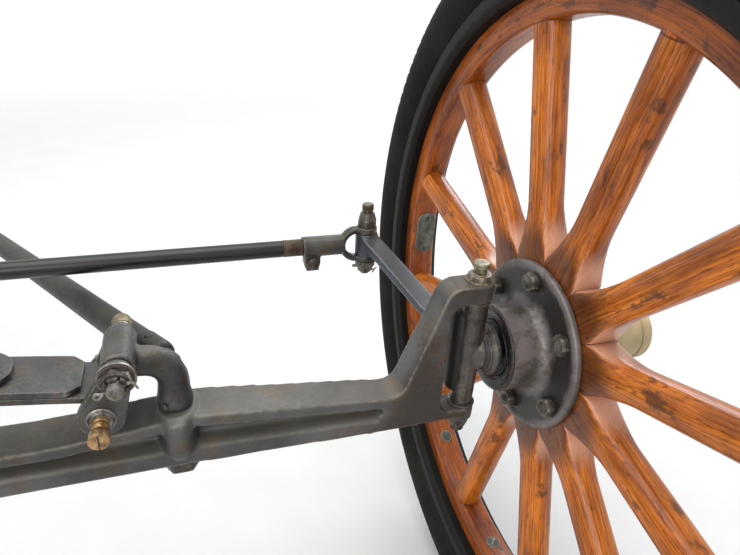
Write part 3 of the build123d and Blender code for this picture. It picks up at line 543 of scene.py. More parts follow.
# Dusty black paint, dull and a little green
dusty_paint = iron("dusty_rod_paint", "#14150E", "#222216", "#4A4834", 0.4, 35, 0.0, 0.42, 0.58,
                   0.1, 0.06, dust=0.06)
# Black enamel on the rim, gone satin
rim_enamel = iron("rim_enamel", "#070808", "#0E0D0A", "#3A3C3E", 0.25, 40, 0.2, 0.48, 0.64, 0.0,
                  0.04, shine=0.25)
# Grey-green paint, chipped and dusty, on the felloe's plates and rivets
plate_paint = iron("felloe_plate_paint", "#5C6053", "#3B3C35", "#A3A79A", 0.4, 8, 0.7, 0.4, 0.6,
                   0.5, 0.12, dust=0.15)
# Dull brass with brown oil in its corners
oiler_brass = iron("oiled_brass", "#A07A4E", "#5E4226", "#CDB083", 0.4, 6, 0.7, 0.3, 0.46, 0.75,
                   0.08)
# Brass browned by oil
brown_brass = iron("browned_brass", "#453B2D", "#31291F", "#75664C", 0.5, 4, 0.7, 0.36, 0.5, 0.55,
                   0.08)
# Brass under a dry film of dust, greyish yellow
dusty_brass = iron("dusty_brass", "#8C8060", "#6E6448", "#B4A67E", 0.4, 6, 0.6, 0.45, 0.6, 0.6,
                   0.06, dust=0.2)
# Pale brass, bare and gone dull
cap_brass = iron("dull_pale_brass", "#DCC596", "#C2AA7A", "#E6DAB8", 0.2, 26, 0.4, 0.4, 0.5, 0.35,
                 0.04)
# Old black rubber, matt, finely pitted and a little dusty
rubber = iron("old_tyre_rubber", "#0E0F0D", "#161612", "#2A2A25", 0.5, 40, 0.3, 0.8, 0.95, 0.0,
              0.12, pit_mm=0.9, dust=0.08, shine=0.25)
# Hickory under warm varnish, streaked along each spoke
hickory = varnished("varnished_hickory", "#8C3F09", "#D27A1E", "#2A1206", joint_r=277.4)
# Steam-bent ash under the same varnish, darker, its grain around the ring
bent_ash = varnished("varnished_bent_ash", "#6C2E06", "#AE5A0E", "#2E1506")

slot_finishes = {
    "forged_black": axle_iron,
    "knuckle_black": oily_iron,
    "hub_black": hub_iron,
    "bolt_steel": bolt_steel,
    "perch_steel": perch_iron,
    "spring_steel": leaf_steel,
    "tie_rod_black": rod_paint,
    "radius_rod_black": dusty_paint,
    "spoke_wood": hickory,
    "felloe_wood": bent_ash,
    "rim_black": rim_enamel,
    "plate_steel": plate_paint,
    "tyre": rubber,
    "oiler_brass": oiler_brass,
    "cap_brass": cap_brass,
}
for node in frame["nodes"].values():
    for holder in node.material_slots:
        finish = slot_finishes.get(holder.material.name.split(".")[0])
        if finish:
            holder.material = finish

WHEELS = ("wheel_left", "wheel_right")
KNUCKLES = ("knuckle_left", "knuckle_right")
AXLES = ("axle", "axle")
YOKES = ("tie_rod", "yoke_right")


def turned_pair(name, line, steps, bodies, finish, replaces=()):
    """A ring turned about the left wheel's axis, and its mirror image."""
    ring = Form().turned(line, wheel_centre, outward, steps, closed=True)
    pair(name, ring, bodies, finish, replaces)


# Spokes: round shanks whose roots flare, grow square and meet in mitred joints
SPOKE_R = 15.2
SPOKE_COUNT = 12
FIRST_SPOKE = 74.04       # degrees from the rear, towards the top
ROOT_R = 40.0             # inner end of the root
MITRE_R = 84.0            # neighbouring roots part here
MITRE_HALF = 22.5         # half the root's width there
SHANK_FROM = 132.0        # the shank is round from here
SPOKE_END = 284.0         # a little way into the felloe
SPOKE_STEPS = 44
MITRE_GAP = 0.2           # from each root's side to the mitre's plane
FELLOE_IN_R = 277.9
FELLOE_R = 300.3
spoke_turn = 360 / SPOKE_COUNT
sector = math.tan(math.radians(spoke_turn / 2))

spokes = Form()
for number in range(SPOKE_COUNT):
    rings = []
    for step in range(SPOKE_STEPS + 1):
        radius = ROOT_R + (SPOKE_END - ROOT_R) * step / SPOKE_STEPS
        rise = min(max((SHANK_FROM - radius) / (SHANK_FROM - MITRE_R), 0), 1.4)
        half = SPOKE_R + (MITRE_HALF - SPOKE_R) * rise ** 3.0
        squareness = 2.05 + 6.0 * min(rise, 1) ** 2.2
        limit = radius * sector - MITRE_GAP
        ring = []
        for p in oval(half, SPOKE_R, squareness):
            ring.append(Vector((max(-limit, min(limit, p.x)), p.y, radius)))
        rings.append(ring)
    angle = FIRST_SPOKE + spoke_turn * number
    side_on = on_wheel(angle + 90, 1, 0) - wheel_centre
    outboard = on_wheel(angle, 1, 0) - wheel_centre
    spokes.skin(
        rings,
        place=lambda p: wheel_centre + side_on * p.x + outward * p.y + outboard * p.z,
        shift=Vector((number * 67.0, number * 43.0, 0)),
    )
pair("turned_spokes", spokes, WHEELS, hickory, ["spokes"], 50)

# Felloe: two bent halves with rounded inner edges, joined under the steel plates
FELLOE_HALF = 16.25
FIRST_PLATE = -1.0        # degrees from the rear, towards the top
FELLOE_STEPS = 96
END_GAP = 0.03            # degrees left open at each end of a half
felloe_line = [(p.y, p.x) for p in rounded((
    (-FELLOE_HALF, FELLOE_R, 1.0),
    (-FELLOE_HALF, FELLOE_IN_R, 7.0),
    (FELLOE_HALF, FELLOE_IN_R, 7.0),
    (FELLOE_HALF, FELLOE_R, 1.0),
), 6)]
felloe = Form()
for half in range(2):
    start = FIRST_PLATE + 180 * half
    rings = []
    for step in range(FELLOE_STEPS + 1):
        angle = start + END_GAP + (180 - 2 * END_GAP) * step / FELLOE_STEPS
        arc = math.radians(angle) * FELLOE_R
        rings.append([Vector((radius, along, arc)) for radius, along in felloe_line])
    felloe.skin(
        rings,
        place=lambda p: on_wheel(math.degrees(p.z / FELLOE_R), p.x, p.y),
        shift=Vector((-250.0 + 30.0 * half, 0, 0)),
    )
pair("bent_felloe", felloe, WHEELS, bent_ash, ["felloe"])

# Felloe plates with their domed rivets, and the rivets through the felloe's lower half
PLATE_HALF = 12.0
PLATE_L = 57.0
PLATE_T = 3.0
RIVET_R = 6.2
RIVET_SPREAD = 21         # each side of the plate's middle
RIVETED = (188, 352)      # degrees between which single rivets show
rivet = [(0.0, 0), (0.35, RIVET_R * 0.35), (1.0, RIVET_R * 0.7), (2.0, RIVET_R * 0.95),
         (3.4, RIVET_R)]
plates = Form()
for number in range(2):
    middle = FIRST_PLATE + 180 * number
    outline = boxed(PLATE_L / 2, PLATE_HALF, PLATE_HALF - 0.2, 8)
    rings = []
    for depth, back in ((0, 1.2), (0.35, 0.35), (1.2, 0), (PLATE_T, 0)):
        ring = []
        for p in inset(outline, back):
            turn = math.degrees(p.x / FELLOE_IN_R)
            ring.append(on_wheel(middle + turn, FELLOE_IN_R - PLATE_T - 0.2 + depth, p.y))
        rings.append(ring)
    plates.skin(rings)
    for offset in (-RIVET_SPREAD, RIVET_SPREAD):
        angle = middle + math.degrees(offset / FELLOE_IN_R)
        head = on_wheel(angle, FELLOE_IN_R - PLATE_T - 2.2, 0)
        plates.turned(rivet, head, (head - wheel_centre).normalized(), 24)
pair("felloe_joint_plates", plates, WHEELS, plate_paint, ["felloe_plates"])

rivets = Form()
for number in range(SPOKE_COUNT):
    angle = FIRST_SPOKE + spoke_turn * (number + 0.5) + 1.2
    if RIVETED[0] < angle % 360 < RIVETED[1]:
        head = on_wheel(angle, FELLOE_IN_R - 2.5, 0)
        rivets.turned([(depth, radius * 1.3) for depth, radius in rivet], head,
                      (head - wheel_centre).normalized(), 28)
pair("felloe_rivets", rivets, WHEELS, plate_paint)

# Rim: rolled channel with rounded flanges
RIM_IN = 300.6
RIM_HALF = 31.0
half_rim = (  # along, radius, corner radius
    (RIM_HALF - 6.0, RIM_IN, 4.0),
    (RIM_HALF - 0.2, RIM_IN + 3.4, 4.0),
    (RIM_HALF, RIM_IN + 15.9, 1.45),
    (RIM_HALF - 3.1, RIM_IN + 15.9, 1.45),
    (RIM_HALF - 3.6, RIM_IN + 5.0, 2.0),
    (RIM_HALF - 8.0, RIM_IN + 3.0, 1.0),
)
rim_line = rounded(half_rim + tuple((-s, r, c) for s, r, c in reversed(half_rim)), 5)
turned_pair("rolled_rim", rim_line, 240, WHEELS, rim_enamel, ["rim"])

# Tyre: a round section, notched on both sides of a narrow crown rib
SECTION_R = 37.85
SECTION_MID = 343.02      # radius of the section's middle
SECTION_STEPS = 40
NECK_HALF = 27.6
NECK_R = 313.0
BEAD_HALF = 22.4
TREAD_PITCHES = 156
PITCH_STEPS = 6
NOTCH_STEPS = 2           # of each pitch, these are cut down
NOTCH = 3.0               # depth
NOTCHED = (4, 61)         # degrees off the crown
GROOVES = ((65, 68, 1.2), (80, 84, 0.7))  # degrees off the crown, depth
neck_angle = math.degrees(math.acos(NECK_HALF / SECTION_R))
tyre_line = [(-BEAD_HALF, RIM_IN + 3.5, 0), (-BEAD_HALF, NECK_R, 0)]
for step in range(SECTION_STEPS + 1):
    turn = math.radians(180 + neck_angle - (180 + 2 * neck_angle) * step / SECTION_STEPS)
    off_crown = abs(math.degrees(turn) - 90)
    tyre_line.append((SECTION_R * math.cos(turn), SECTION_MID + SECTION_R * math.sin(turn),
                      off_crown))
tyre_line += [(BEAD_HALF, NECK_R, 0), (BEAD_HALF, RIM_IN + 3.5, 0)]
tyre = Form()
rings = []
steps = TREAD_PITCHES * PITCH_STEPS
for step in range(steps):
    angle = 360 * step / steps
    notched = step % PITCH_STEPS < NOTCH_STEPS
    ring = []
    for index, (along, radius, off_crown) in enumerate(tyre_line):
        lift = Vector((along, radius - SECTION_MID)).normalized()
        sink = 0.0
        if 2 <= index < len(tyre_line) - 2:
            if notched and NOTCHED[0] < off_crown < NOTCHED[1]:
                sink = NOTCH
            for inner, outer, depth in GROOVES:
                if inner < off_crown < outer:
                    sink = depth
        ring.append(on_wheel(angle, radius - lift.y * sink, along - lift.x * sink))
    rings.append(ring)
tyre.skin(rings, True)
pair("treaded_tyre", tyre, WHEELS, rubber, ["tyre"], 24)

# Hub: greasy barrel, dished flange with a rolled edge, and the nose that carries the cap
BARREL_R = 39.7
BARREL_IN = -55.4
FLANGE_R = 78.6
FLANGE_IN = -20.5
FLANGE_FACE = -15.5
hub_line = rounded((  # along, radius, corner radius
    (BARREL_IN + 20, 12.3, 0),
    (BARREL_IN + 6, 12.3, 1),
    (BARREL_IN + 6, 20.0, 1),
    (BARREL_IN + 2.5, 20.5, 1),
    (BARREL_IN + 2.5, 25.5, 1),
    (BARREL_IN + 4.5, 26.0, 0.6),
    (BARREL_IN + 4.5, 29.0, 0.6),
    (BARREL_IN + 1.0, 30.0, 1),
    (BARREL_IN, 35.5, 1.5),
    (BARREL_IN + 1.0, BARREL_R - 0.4, 2.5),
    (FLANGE_IN, BARREL_R - 0.4, 11.5),
    (FLANGE_IN, FLANGE_R - 9.0, 3.0),
    (FLANGE_IN - 1.6, FLANGE_R - 4.5, 2.4),
    (FLANGE_IN - 0.6, FLANGE_R, 3.0),
    (FLANGE_FACE, FLANGE_R, 1.5),
    (FLANGE_FACE, BARREL_R, 0),
    (-FLANGE_FACE + 11, BARREL_R, 3.0),
    (-FLANGE_FACE + 17, 33.0, 3.0),
    (60.0, 30.0, 1.5),
    (60.0, 26.0, 0.8),
    (82.0, 26.0, 0),
    (82.0, 12.3, 0),
), 5)
turned_pair("greased_hub", hub_line, 96, WHEELS, hub_iron, ["hub"])

# Grease over the barrel's inner end
inner_end = [(p.x - 0.15, p.y + 0.1) for p in hub_line if p.x < BARREL_IN + 7 and p.y < 39.4]
inner_end += [(inner_end[-1][0] + 1.5, 38.0), (BARREL_IN + 8, 13.0)]
turned_pair("hub_grease", inner_end, 96, WHEELS, grease)


def stud_thread(start, end, radius, pitch=1.4, depth=0.55):
    """Outline of a screw thread between two places along a bolt."""
    points = []
    count = max(2, round(abs(end - start) / pitch))
    for index in range(count):
        place = start + (end - start) * index / count
        points.append((place, radius - depth))
        points.append((place + (end - start) / count / 2, radius))
    points.append((end, radius - depth))
    return points


def hexagon(form, origin, axis, flats, thickness, turn=0):
    """A hexagon with corners rounded off at both ends."""
    corner = flats / 2 / math.cos(math.pi / 6)
    chamfer = min(1.4, thickness / 4)
    outline = [(0, 0), (0, flats / 2 * 0.96), (chamfer, corner + 0.01),
               (thickness - chamfer, corner + 0.01), (thickness, flats / 2 * 0.96),
               (thickness, 0)]
    return form.turned(outline, origin, axis, 48, flats, turn)


def castle_nut(form, origin, axis, flats, body, crown, bolt_r, turn):
    """A hexagon nut with six slots in its round crown, and a washer under it."""
    washer_t = 1.9
    washer = [(0, 0), (0, flats * 0.60), (washer_t - 0.3, flats * 0.60),
              (washer_t, flats * 0.57), (washer_t, 0)]
    form.turned(washer, origin, axis, 40)
    hexagon(form, origin + axis * washer_t, axis, flats, body - washer_t, turn)
    outer = flats / 2 * 0.86
    for tooth in range(6):
        middle = math.radians(turn + 30 + 60 * tooth)
        outline = []
        for radius, spread in ((bolt_r, -0.34), (outer, -0.42), (outer, -0.2), (outer, 0),
                               (outer, 0.2), (outer, 0.42), (bolt_r, 0.34)):
            outline.append(Vector((radius * math.cos(middle + spread),
                                   radius * math.sin(middle + spread), 0)))
        form.slab(outline, origin + axis * (body - 0.3), square_to(axis), axis, crown + 0.3,
                  0.5, 2)
    return form


def screw_end(form, origin, axis, radius, start, end):
    """A bolt's threaded end with a chamfer."""
    bolt = [(start - 2, radius - 0.5)] + stud_thread(start, end - 1.2, radius)
    bolt += [(end - 0.3, radius - 1.2), (end, radius - 2.0), (end, 0)]
    return form.turned(bolt, origin, axis, 32)


def cotter(form, origin, through, axis, reach, wire):
    """A split pin: a loop at one side, its two legs bent apart at the other."""
    side = through.cross(axis)
    loop = rounded((
        (0, 0, 0), (3.5, 2.4, 1.8), (7.0, 0, 2.2), (3.5, -2.4, 1.8), (0, 0, 0),
    ), 4, False)
    start = origin - through * reach
    form.tube([start - through * p.x + side * p.y for p in loop], circle(wire, 8), axis)
    form.tube([start, origin + through * reach], circle(wire * 1.3, 8), axis)
    for leg in (-1, 1):
        bend = rounded((
            (0, 0, 0), (2.0, 0.6 * leg, 1.5), (2.6, 7.0 * leg, 0),
        ), 4, False)
        form.tube([origin + through * (reach + p.x) + side * p.y for p in bend],
                  circle(wire * 0.9, 8), axis)
    return form


# Hub bolts: nuts with riveted-over ends on the inner flange, round heads on the outer plate
BOLT_COUNT = 6
FIRST_BOLT = 29.04        # degrees from the rear, towards the top
BOLT_CIRCLE_R = 63.0
hub_bolts = Form()
for number in range(BOLT_COUNT):
    angle = FIRST_BOLT + 360 / BOLT_COUNT * number
    seat = on_wheel(angle, BOLT_CIRCLE_R, FLANGE_IN)
    hexagon(hub_bolts, seat, -outward, 16.0, 7.5, 17 * number)
    end = [(7.0, 5.4), (8.6, 5.2), (9.2, 4.2), (10.4, 3.9), (10.9, 3.0), (10.9, 0)]
    hub_bolts.turned([(6.0, 4.8)] + end, seat, -outward, 24)
    head = on_wheel(angle, BOLT_CIRCLE_R, 20.5)
    dome = [(0, 0), (0, 9.2), (2.0, 9.2), (4.2, 7.6), (5.6, 4.6), (6.0, 0)]
    hub_bolts.turned(dome, head, outward, 24)
pair("hub_flange_bolts", hub_bolts, WHEELS, bolt_steel)

# Outer hub plate with a rolled edge like the flange's
plate_line = rounded((  # along, radius, corner radius
    (15.5, 40.0, 0.5), (15.5, FLANGE_R, 1.5), (20.3, FLANGE_R, 2.0), (21.4, FLANGE_R - 4.5, 2.4),
    (20.5, FLANGE_R - 9.0, 3.0), (20.5, 40.0, 0.8),
), 5)
turned_pair("rolled_hub_plate", plate_line, 96, WHEELS, hub_iron, ["hub_plate"])

# Bare sleeve behind the cap
sleeve = rounded((  # along, radius, corner radius
    (34, 30, 0), (34, 33.6, 0.8), (57.5, 31.6, 1.2), (59.8, 30.2, 1.0), (59.8, 28, 0),
), 4)
turned_pair("hub_nose_sleeve", sleeve, 72, WHEELS, washer_steel)

# Hub cap: a drawn cup with a rounded edge, a raised band and a round boss on its end
cap_line = rounded((  # along, radius, corner radius
    (60.3, 26.3, 0.5), (60.3, 29.3, 1.0), (68.0, 29.3, 0.6), (68.6, 28.4, 0.4),
    (92.0, 28.0, 0.5), (92.6, 29.0, 0.5), (103.5, 29.0, 3.5), (106.5, 20.0, 1.5),
    (106.9, 15.5, 0.6), (109.4, 15.0, 1.2), (109.4, 0.02, 0), (106.0, 0.02, 0),
    (104.0, 24.0, 2.0), (100.0, 26.3, 2.0),
), 5)
turned_pair("drawn_hub_cap", cap_line, 72, WHEELS, cap_brass, ["hub_cap"])

# Axle beam: a forging with soft corners, its recess's lower wall sloping out to the flange, and
# a round boss in which the perch stands
PERCH_X = 388.0
WEB_HALF = 4.5
recess_foot = ((-552, -47.3), (-400, -41.5), (400, -41.5), (552, -47.3))  # x, height
boss_sections = ((-10, 0.9), (-13, 1.0), (-37, 1.0), (-41, 0.96), (-44, 0.87), (-46.5, 0.7),
                 (-48, 0.45))  # height, share of the full section
beam = Form().copy_node("axle_beam")
for face in (-1, 1):
    slope = [Vector((-3, -face, 0)), Vector((-3, 13.6 * face, 0)), Vector((0, 14.1 * face, 0)),
             Vector((6.0, -face, 0))]
    beam.tube([at(x, face * WEB_HALF, height) for x, height in recess_foot], slope)
for side in (-1, 1):
    beam.tube(
        [at(side * PERCH_X, 0, height) for height, _ in boss_sections],
        [oval(13.6 * part, 26.4 * (2 + part) / 3, 2.2) for _, part in boss_sections],
    )
beam.forged(1.8, 6)
piece("forged_beam", beam, "axle", axle_iron, ["axle_beam"], 60)

# Kingpins: hexagon, neck and round oiler cap above the yoke, nut and bolt's end below it
YOKE_TOP = 71.5
YOKE_BOTTOM = -72.0
KINGPIN_R = 6.35
yoke_top = at(kingpin.x, 0, YOKE_TOP)
pins = Form().turned(
    [(0, 0), (0, 5.2), (1, 6.0), (17, KINGPIN_R), (159.5, KINGPIN_R), (159.5, 0)],
    at(kingpin.x, 0, -88), UP, 32,
)
cap = ((6.0, 7.4), (7.0, 7.0), (7.6, 5.2), (11.8, 5.0), (12.2, 6.4), (12.9, 7.0), (14.3, 7.0),
       (14.6, 6.6), (14.9, 7.0), (16.2, 6.9), (16.9, 6.2), (17.0, 0))  # above the yoke, radius
pins.turned(cap, yoke_top, UP, 32)
pair("turned_kingpin", pins, AXLES, pin_steel, ["kingpin"])
under_yoke = at(kingpin.x, 0, YOKE_BOTTOM - 0.2)
king_nut = hexagon(Form(), under_yoke, -UP, 17.0, 8.6, 20)
king_nut.turned([(8.0, 0), (8.0, 7.9), (10.6, 7.4), (11.0, 6.6)] + stud_thread(11.0, 15.4, 6.5)
                + [(16.1, 4.9), (16.1, 0)], under_yoke, -UP, 28)
pair("kingpin_nut", king_nut, AXLES, dark_bolt)
pair("kingpin_hexagon", hexagon(Form(), yoke_top, UP, 19.0, 6.5, 12), AXLES,
     spanner_steel)

# Yellowed grease pressed out under the kingpin's hexagon
squeezed = []
for height, radius in ((0.0, 12.2), (0.5, 12.4), (1.3, 11.6), (2.0, 10.2), (2.3, 8.0)):
    ring = []
    for point in circle(radius, 48):
        angle = math.atan2(point.y, point.x)
        wave = 1 + 0.05 * math.sin(3 * angle + 1) + 0.03 * math.sin(7 * angle)
        ring.append(yoke_top + point * wave + UP * height)
    squeezed.append(ring)
pair("kingpin_grease", Form().skin(squeezed), AXLES, yellow_grease)

# Knuckles: the forging, the boss behind its post, black as painted shade of the gap there and
# partly with oil, the grease run out over the stub in rings, and the thrust washers
pair("forged_knuckle", Form().copy_node("knuckle_left").forged(1.2), KNUCKLES,
     oily_iron, ["knuckle"], 60)
# Painted shade: the black boss fills the shaded gap between the axle's yoke and the post
arm_boss = ((-43, 0.6), (-41.5, 0.85), (-38, 1.0), (36, 1.0), (39.5, 0.85),
            (41, 0.6))  # height, share of the full radius
rear_boss = Form().tube([at(kingpin.x - 4, 7, height) for height, _ in arm_boss],
                        [circle(12.5 * part, 32) for _, part in arm_boss])
pair("knuckle_rear_boss", rear_boss, KNUCKLES, oil_and_gap_shade)
run_out = [(-69.0, 15.6)]  # along, radius
for ring in range(16):
    along = -68.5 + 0.7 * ring
    run_out.append((along, 17.2 + 0.7 * (along + 68.5) + (0.45 if ring % 3 else 0.0)))
run_out += [(-57.2, 24.8), (-57.1, 13.0), (-62.0, 12.5)]
turned_pair("stub_grease", run_out, 72, KNUCKLES, grease)
thrust = Form()
for height in (51.9, -55.6):
    thrust.turned([(0, 6.8), (0, 12.2), (0.3, 12.5), (1.4, 12.5), (1.7, 12.2), (1.7, 6.8)],
                  at(kingpin.x, 0, height), UP, 40, closed=True)
pair("thrust_washers", thrust, KNUCKLES, oily_iron)

# Steering arms
arm = Form().copy_node("steering_arm_left").forged(1.3)
pair("forged_steering_arm", arm, KNUCKLES, arm_iron, ["steering_arm"], 60)

# Tie rod yokes: strap loop and socket, with a rounded clamp lug under the socket
TIE_ROD_H = 35.35
TIE_ROD_R = 8.7
SOCKET_IN = 71.4
LUG_IN = 61.0
JAWS_TOP = 54.5
JAWS_BOTTOM = 15.2
LUG_T = 15
SOCKET_R = 10.8
SOCKET_L = 44.9
BORE_R = 9.6
BORE_L = 37.4
lug_front = at(tie_pin.x - LUG_IN, tie_pin.y - LUG_T / 2, TIE_ROD_H)
lug = rounded(((-8.6, 0, 0), (-8.6, -25.3, 8.2), (8.6, -25.3, 8.2), (8.6, 0, 0)), 8)
yoke = Form().copy_node("tie_rod_yoke_left")
yoke.slab(lug, lug_front + REAR * LUG_T, LEFT, -REAR, LUG_T, 1.5)
yoke.turned(pin_line(SOCKET_R, SOCKET_L),
            at(tie_pin.x - SOCKET_IN + 0.2, tie_pin.y, TIE_ROD_H), LEFT, 40)
yoke.forged(1.0)
yoke.cut(Form().turned(pin_line(BORE_R, BORE_L),
                       at(tie_pin.x - SOCKET_IN - 2, tie_pin.y, TIE_ROD_H), LEFT, 40))
pair("forged_tie_rod_yoke", yoke, YOKES, yoke_iron, ["tie_rod_yoke"], 60)

clamp = Form()
through_lug = lug_front - UP * 16.6
clamp.turned([(-0.6, 0), (-0.6, 7.3), (1.4, 7.3), (3.4, 6.5), (5.0, 4.6), (5.8, 2.0), (6.0, 0)],
             through_lug, -REAR, 28)
hexagon(clamp, through_lug + REAR * LUG_T, REAR, 11.0, 5.0)
pair("clamp_bolt", clamp, YOKES, dark_bolt)

# Tie rod, its screwed ends brown beside the sockets
ROD_SHORT = 36.3          # from the bolt to the rod's end in the socket
rod_half = tie_pin.x - ROD_SHORT
rod_line = [(0, 0), (0, 8.2), (0.6, TIE_ROD_R), (2 * rod_half - 0.6, TIE_ROD_R),
            (2 * rod_half, 8.2), (2 * rod_half, 0)]
piece("drawn_tie_rod", Form().turned(rod_line, at(-rod_half, tie_pin.y, TIE_ROD_H), LEFT, 48),
      "tie_rod", rod_paint, ["tie_rod"])
thread = [(0, TIE_ROD_R - 0.4)] + stud_thread(0.3, 19.5, TIE_ROD_R + 0.45, 1.5, 0.45)
thread += [(19.9, TIE_ROD_R - 0.4)]
thread_start = at(tie_pin.x - SOCKET_IN - 20.3, tie_pin.y, TIE_ROD_H)
pair("tie_rod_thread", Form().turned(thread, thread_start, LEFT, 40, closed=True),
     ("tie_rod", "tie_rod"), rusty_thread)

# Tie rod bolts: a hexagon whose shoulder narrows to a screwed cap, a castle nut below
bolts = Form()
bolt_seat = at(tie_pin.x, tie_pin.y, JAWS_TOP)
hexagon(bolts, bolt_seat, UP, 19.0, 9.0, 8)
shoulder = ((8.0, 9.3), (9.5, 9.2), (14.8, 7.8), (16.2, 7.0), (16.4, 5.2), (18.6, 4.6), (18.9, 0))
bolts.turned([(8.0, 0)] + list(shoulder), bolt_seat, UP, 32)
bolts.turned(pin_line(KINGPIN_R, 42), at(tie_pin.x, tie_pin.y, 13), UP, 32)
under_jaws = at(tie_pin.x, tie_pin.y, JAWS_BOTTOM)
castle_nut(bolts, under_jaws - UP * 0.1, -UP, 19.0, 8.4, 4.4, 5.9, 15)
screw_end(bolts, under_jaws, -UP, 5.9, 5, 16.2)
cotter(bolts, under_jaws - UP * 10.8, Vector((0.8, -0.6, 0)), UP, 9.0, 0.9)
pair("tie_rod_bolt_and_nut", bolts, YOKES, bolt_steel, ["tie_rod_bolt"])
bolt_cap = Form().turned(
    [(18.2, 0), (18.2, 5.0), (18.9, 6.3), (20.6, 6.5), (21.2, 5.8), (21.8, 6.4), (24.6, 6.2),
     (25.6, 5.2), (25.7, 0)], bolt_seat, UP, 12,
)
pair("tie_rod_oiler_cap", bolt_cap, YOKES, brown_brass, (), 20)

# Spring perches: the gooseneck forging on its flared foot, and the castle nut under the beam
perch_foot = ((-8.6, 10.0), (-8.2, 12.2), (-5.5, 13.6), (-1.5, 13.6), (4.0, 12.4), (12.0, 11.3),
              (13.0, 8.0))  # height, radius
perch = Form().copy_node("spring_perch_left")
perch.turned(perch_foot, at(PERCH_X, 0, 0), UP, 40)
shoulder = ((-8.0, 6.0), (-5.0, 8.6), (8.0, 8.6), (16.0, 7.6), (24.0, 4.5))  # height, radius
perch.turned(shoulder, at(PERCH_X + 3.5, 6.5, 0), UP, 32)
perch.forged(1.4)
pair("forged_perch", perch, AXLES, perch_iron, ["spring_perch"], 60)
perch_nuts = Form()
under_beam = at(PERCH_X, 0, -56.7)
castle_nut(perch_nuts, under_beam, -UP, 27.0, 9.5, 4.0, 8.2, 5)
screw_end(perch_nuts, under_beam, -UP, 8.2, 6, 17.1)
foot_rivet = [(0, 0), (0, 2.6), (1.6, 2.6), (2.6, 1.6), (2.7, 0)]
perch_nuts.turned(foot_rivet, at(PERCH_X - 7.4, -11.6, -1.5), Vector((-0.45, -0.88, 0.1)), 16)
pair("perch_castle_nut", perch_nuts, AXLES, dark_bolt)

# Shackles: two bars, each broad around its own stud, which is nutted on the other bar
PERCH_EYE = Vector((354.0, 43.5))
SPRING_EYE = Vector((340.0, 10.5))
BAR_FACE = 22.5           # a bar's inner face, from the beam's middle
BAR_OUT = 30.5            # its outer face
STUD_R = 6.8


def link(first, second, first_r, second_r):
    """Outline around two circles."""
    steps = 20
    across = second - first
    start = math.atan2(across.y, across.x)
    touch = math.acos((first_r - second_r) / across.length)
    points = []
    for centre, radius, begin, sweep in (
        (first, first_r, start + touch, math.tau - 2 * touch),
        (second, second_r, start - touch, 2 * touch),
    ):
        for step in range(steps + 1):
            angle = begin + sweep * step / steps
            points.append(centre.to_3d() + Vector((math.cos(angle), math.sin(angle), 0)) * radius)
    return points


bars = Form()
washers = Form()
nuts = Form()
studs = Form()
for facing, stud, other in ((-1, SPRING_EYE, PERCH_EYE), (1, PERCH_EYE, SPRING_EYE)):
    face = BAR_OUT if facing == 1 else -BAR_FACE
    broad, narrow = (15.8, 10.0) if facing == -1 else (8.2, 11.0)
    bars.slab(link(stud, other, broad, narrow), at(0, face, 0), LEFT, -REAR,
              BAR_OUT - BAR_FACE, 1.6)
    bars.turned(pin_line(STUD_R, BAR_FACE + BAR_OUT), at(stud.x, facing * BAR_FACE, stud.y),
                -facing * REAR, 32)
    head = at(stud.x, facing * BAR_OUT, stud.y)
    wide = 9.8 if facing == -1 else 7.6
    washers.turned([(0, 0), (0, wide - 0.2), (1.0, wide), (1.8, wide - 1.2), (2.6, wide - 1.8),
                    (3.4, wide - 2.6), (3.4, 0)], head, facing * REAR, 40)
    seat = at(stud.x, -facing * BAR_OUT, stud.y)
    washers.turned([(0, 0), (0, 12.6), (0.4, 13.0), (1.9, 13.0), (2.3, 12.6), (2.3, 0)],
                   seat, -facing * REAR, 40)
    castle_nut(nuts, seat - facing * REAR * 1.6, -facing * REAR, 19.6, 8.6, 3.6, 6.0, 10)
    screw_end(studs, seat, -facing * REAR, 5.8, 6, 19.2)
    hole = seat - facing * REAR * 12.2
    cotter(studs, hole, Vector((0.93, 0, 0.36)), REAR * facing, 9.2, 1.0)
pair("forged_shackle", bars, AXLES, perch_iron, ["shackle"])
pair("shackle_washers", washers, AXLES, washer_steel)
pair("shackle_castle_nuts", nuts, AXLES, dark_bolt)
pair("shackle_stud_ends", studs, AXLES, stud_steel)

# Shackle oilers: a slotted brass one in front, a domed grey-yellow one behind
front_oiler = Form().turned(
    [(0, 0), (0, 5.6), (2.4, 5.6), (3.0, 4.9), (4.6, 4.9), (5.4, 5.9), (9.5, 5.9), (10.4, 5.2),
     (12.2, 5.4), (13.0, 6.8), (13.6, 7.0), (19.2, 7.0), (20.3, 6.0), (20.3, 0)],
    at(SPRING_EYE.x, -BAR_OUT - 3.4, SPRING_EYE.y), -REAR, 36,
)
pair("slotted_oiler", front_oiler, AXLES, oiler_brass, ["shackle_oilers"])
# Painted shade: the slot is not cut, a thin black sheet on the oiler's end stands for its shaded
# inside
slot_place = at(SPRING_EYE.x, -BAR_OUT - 23.5, SPRING_EYE.y)
oiler_slot_shade = Form().slab(boxed(0.6, 6.0, 0.3, 2), slot_place, LEFT, -REAR, 0.3, 0.1, 1)
pair("oiler_slot_shade", oiler_slot_shade, AXLES, grease)
rear_oiler = Form().turned(
    [(0, 0), (0, 6.9), (1.0, 7.3), (8.5, 7.4), (10.8, 6.9), (12.6, 5.6), (13.7, 3.6),
     (14.0, 1.6), (14.0, 0)], at(PERCH_EYE.x, BAR_OUT + 3.4, PERCH_EYE.y), REAR, 36,
)
pair("domed_oiler", rear_oiler, AXLES, dusty_brass)

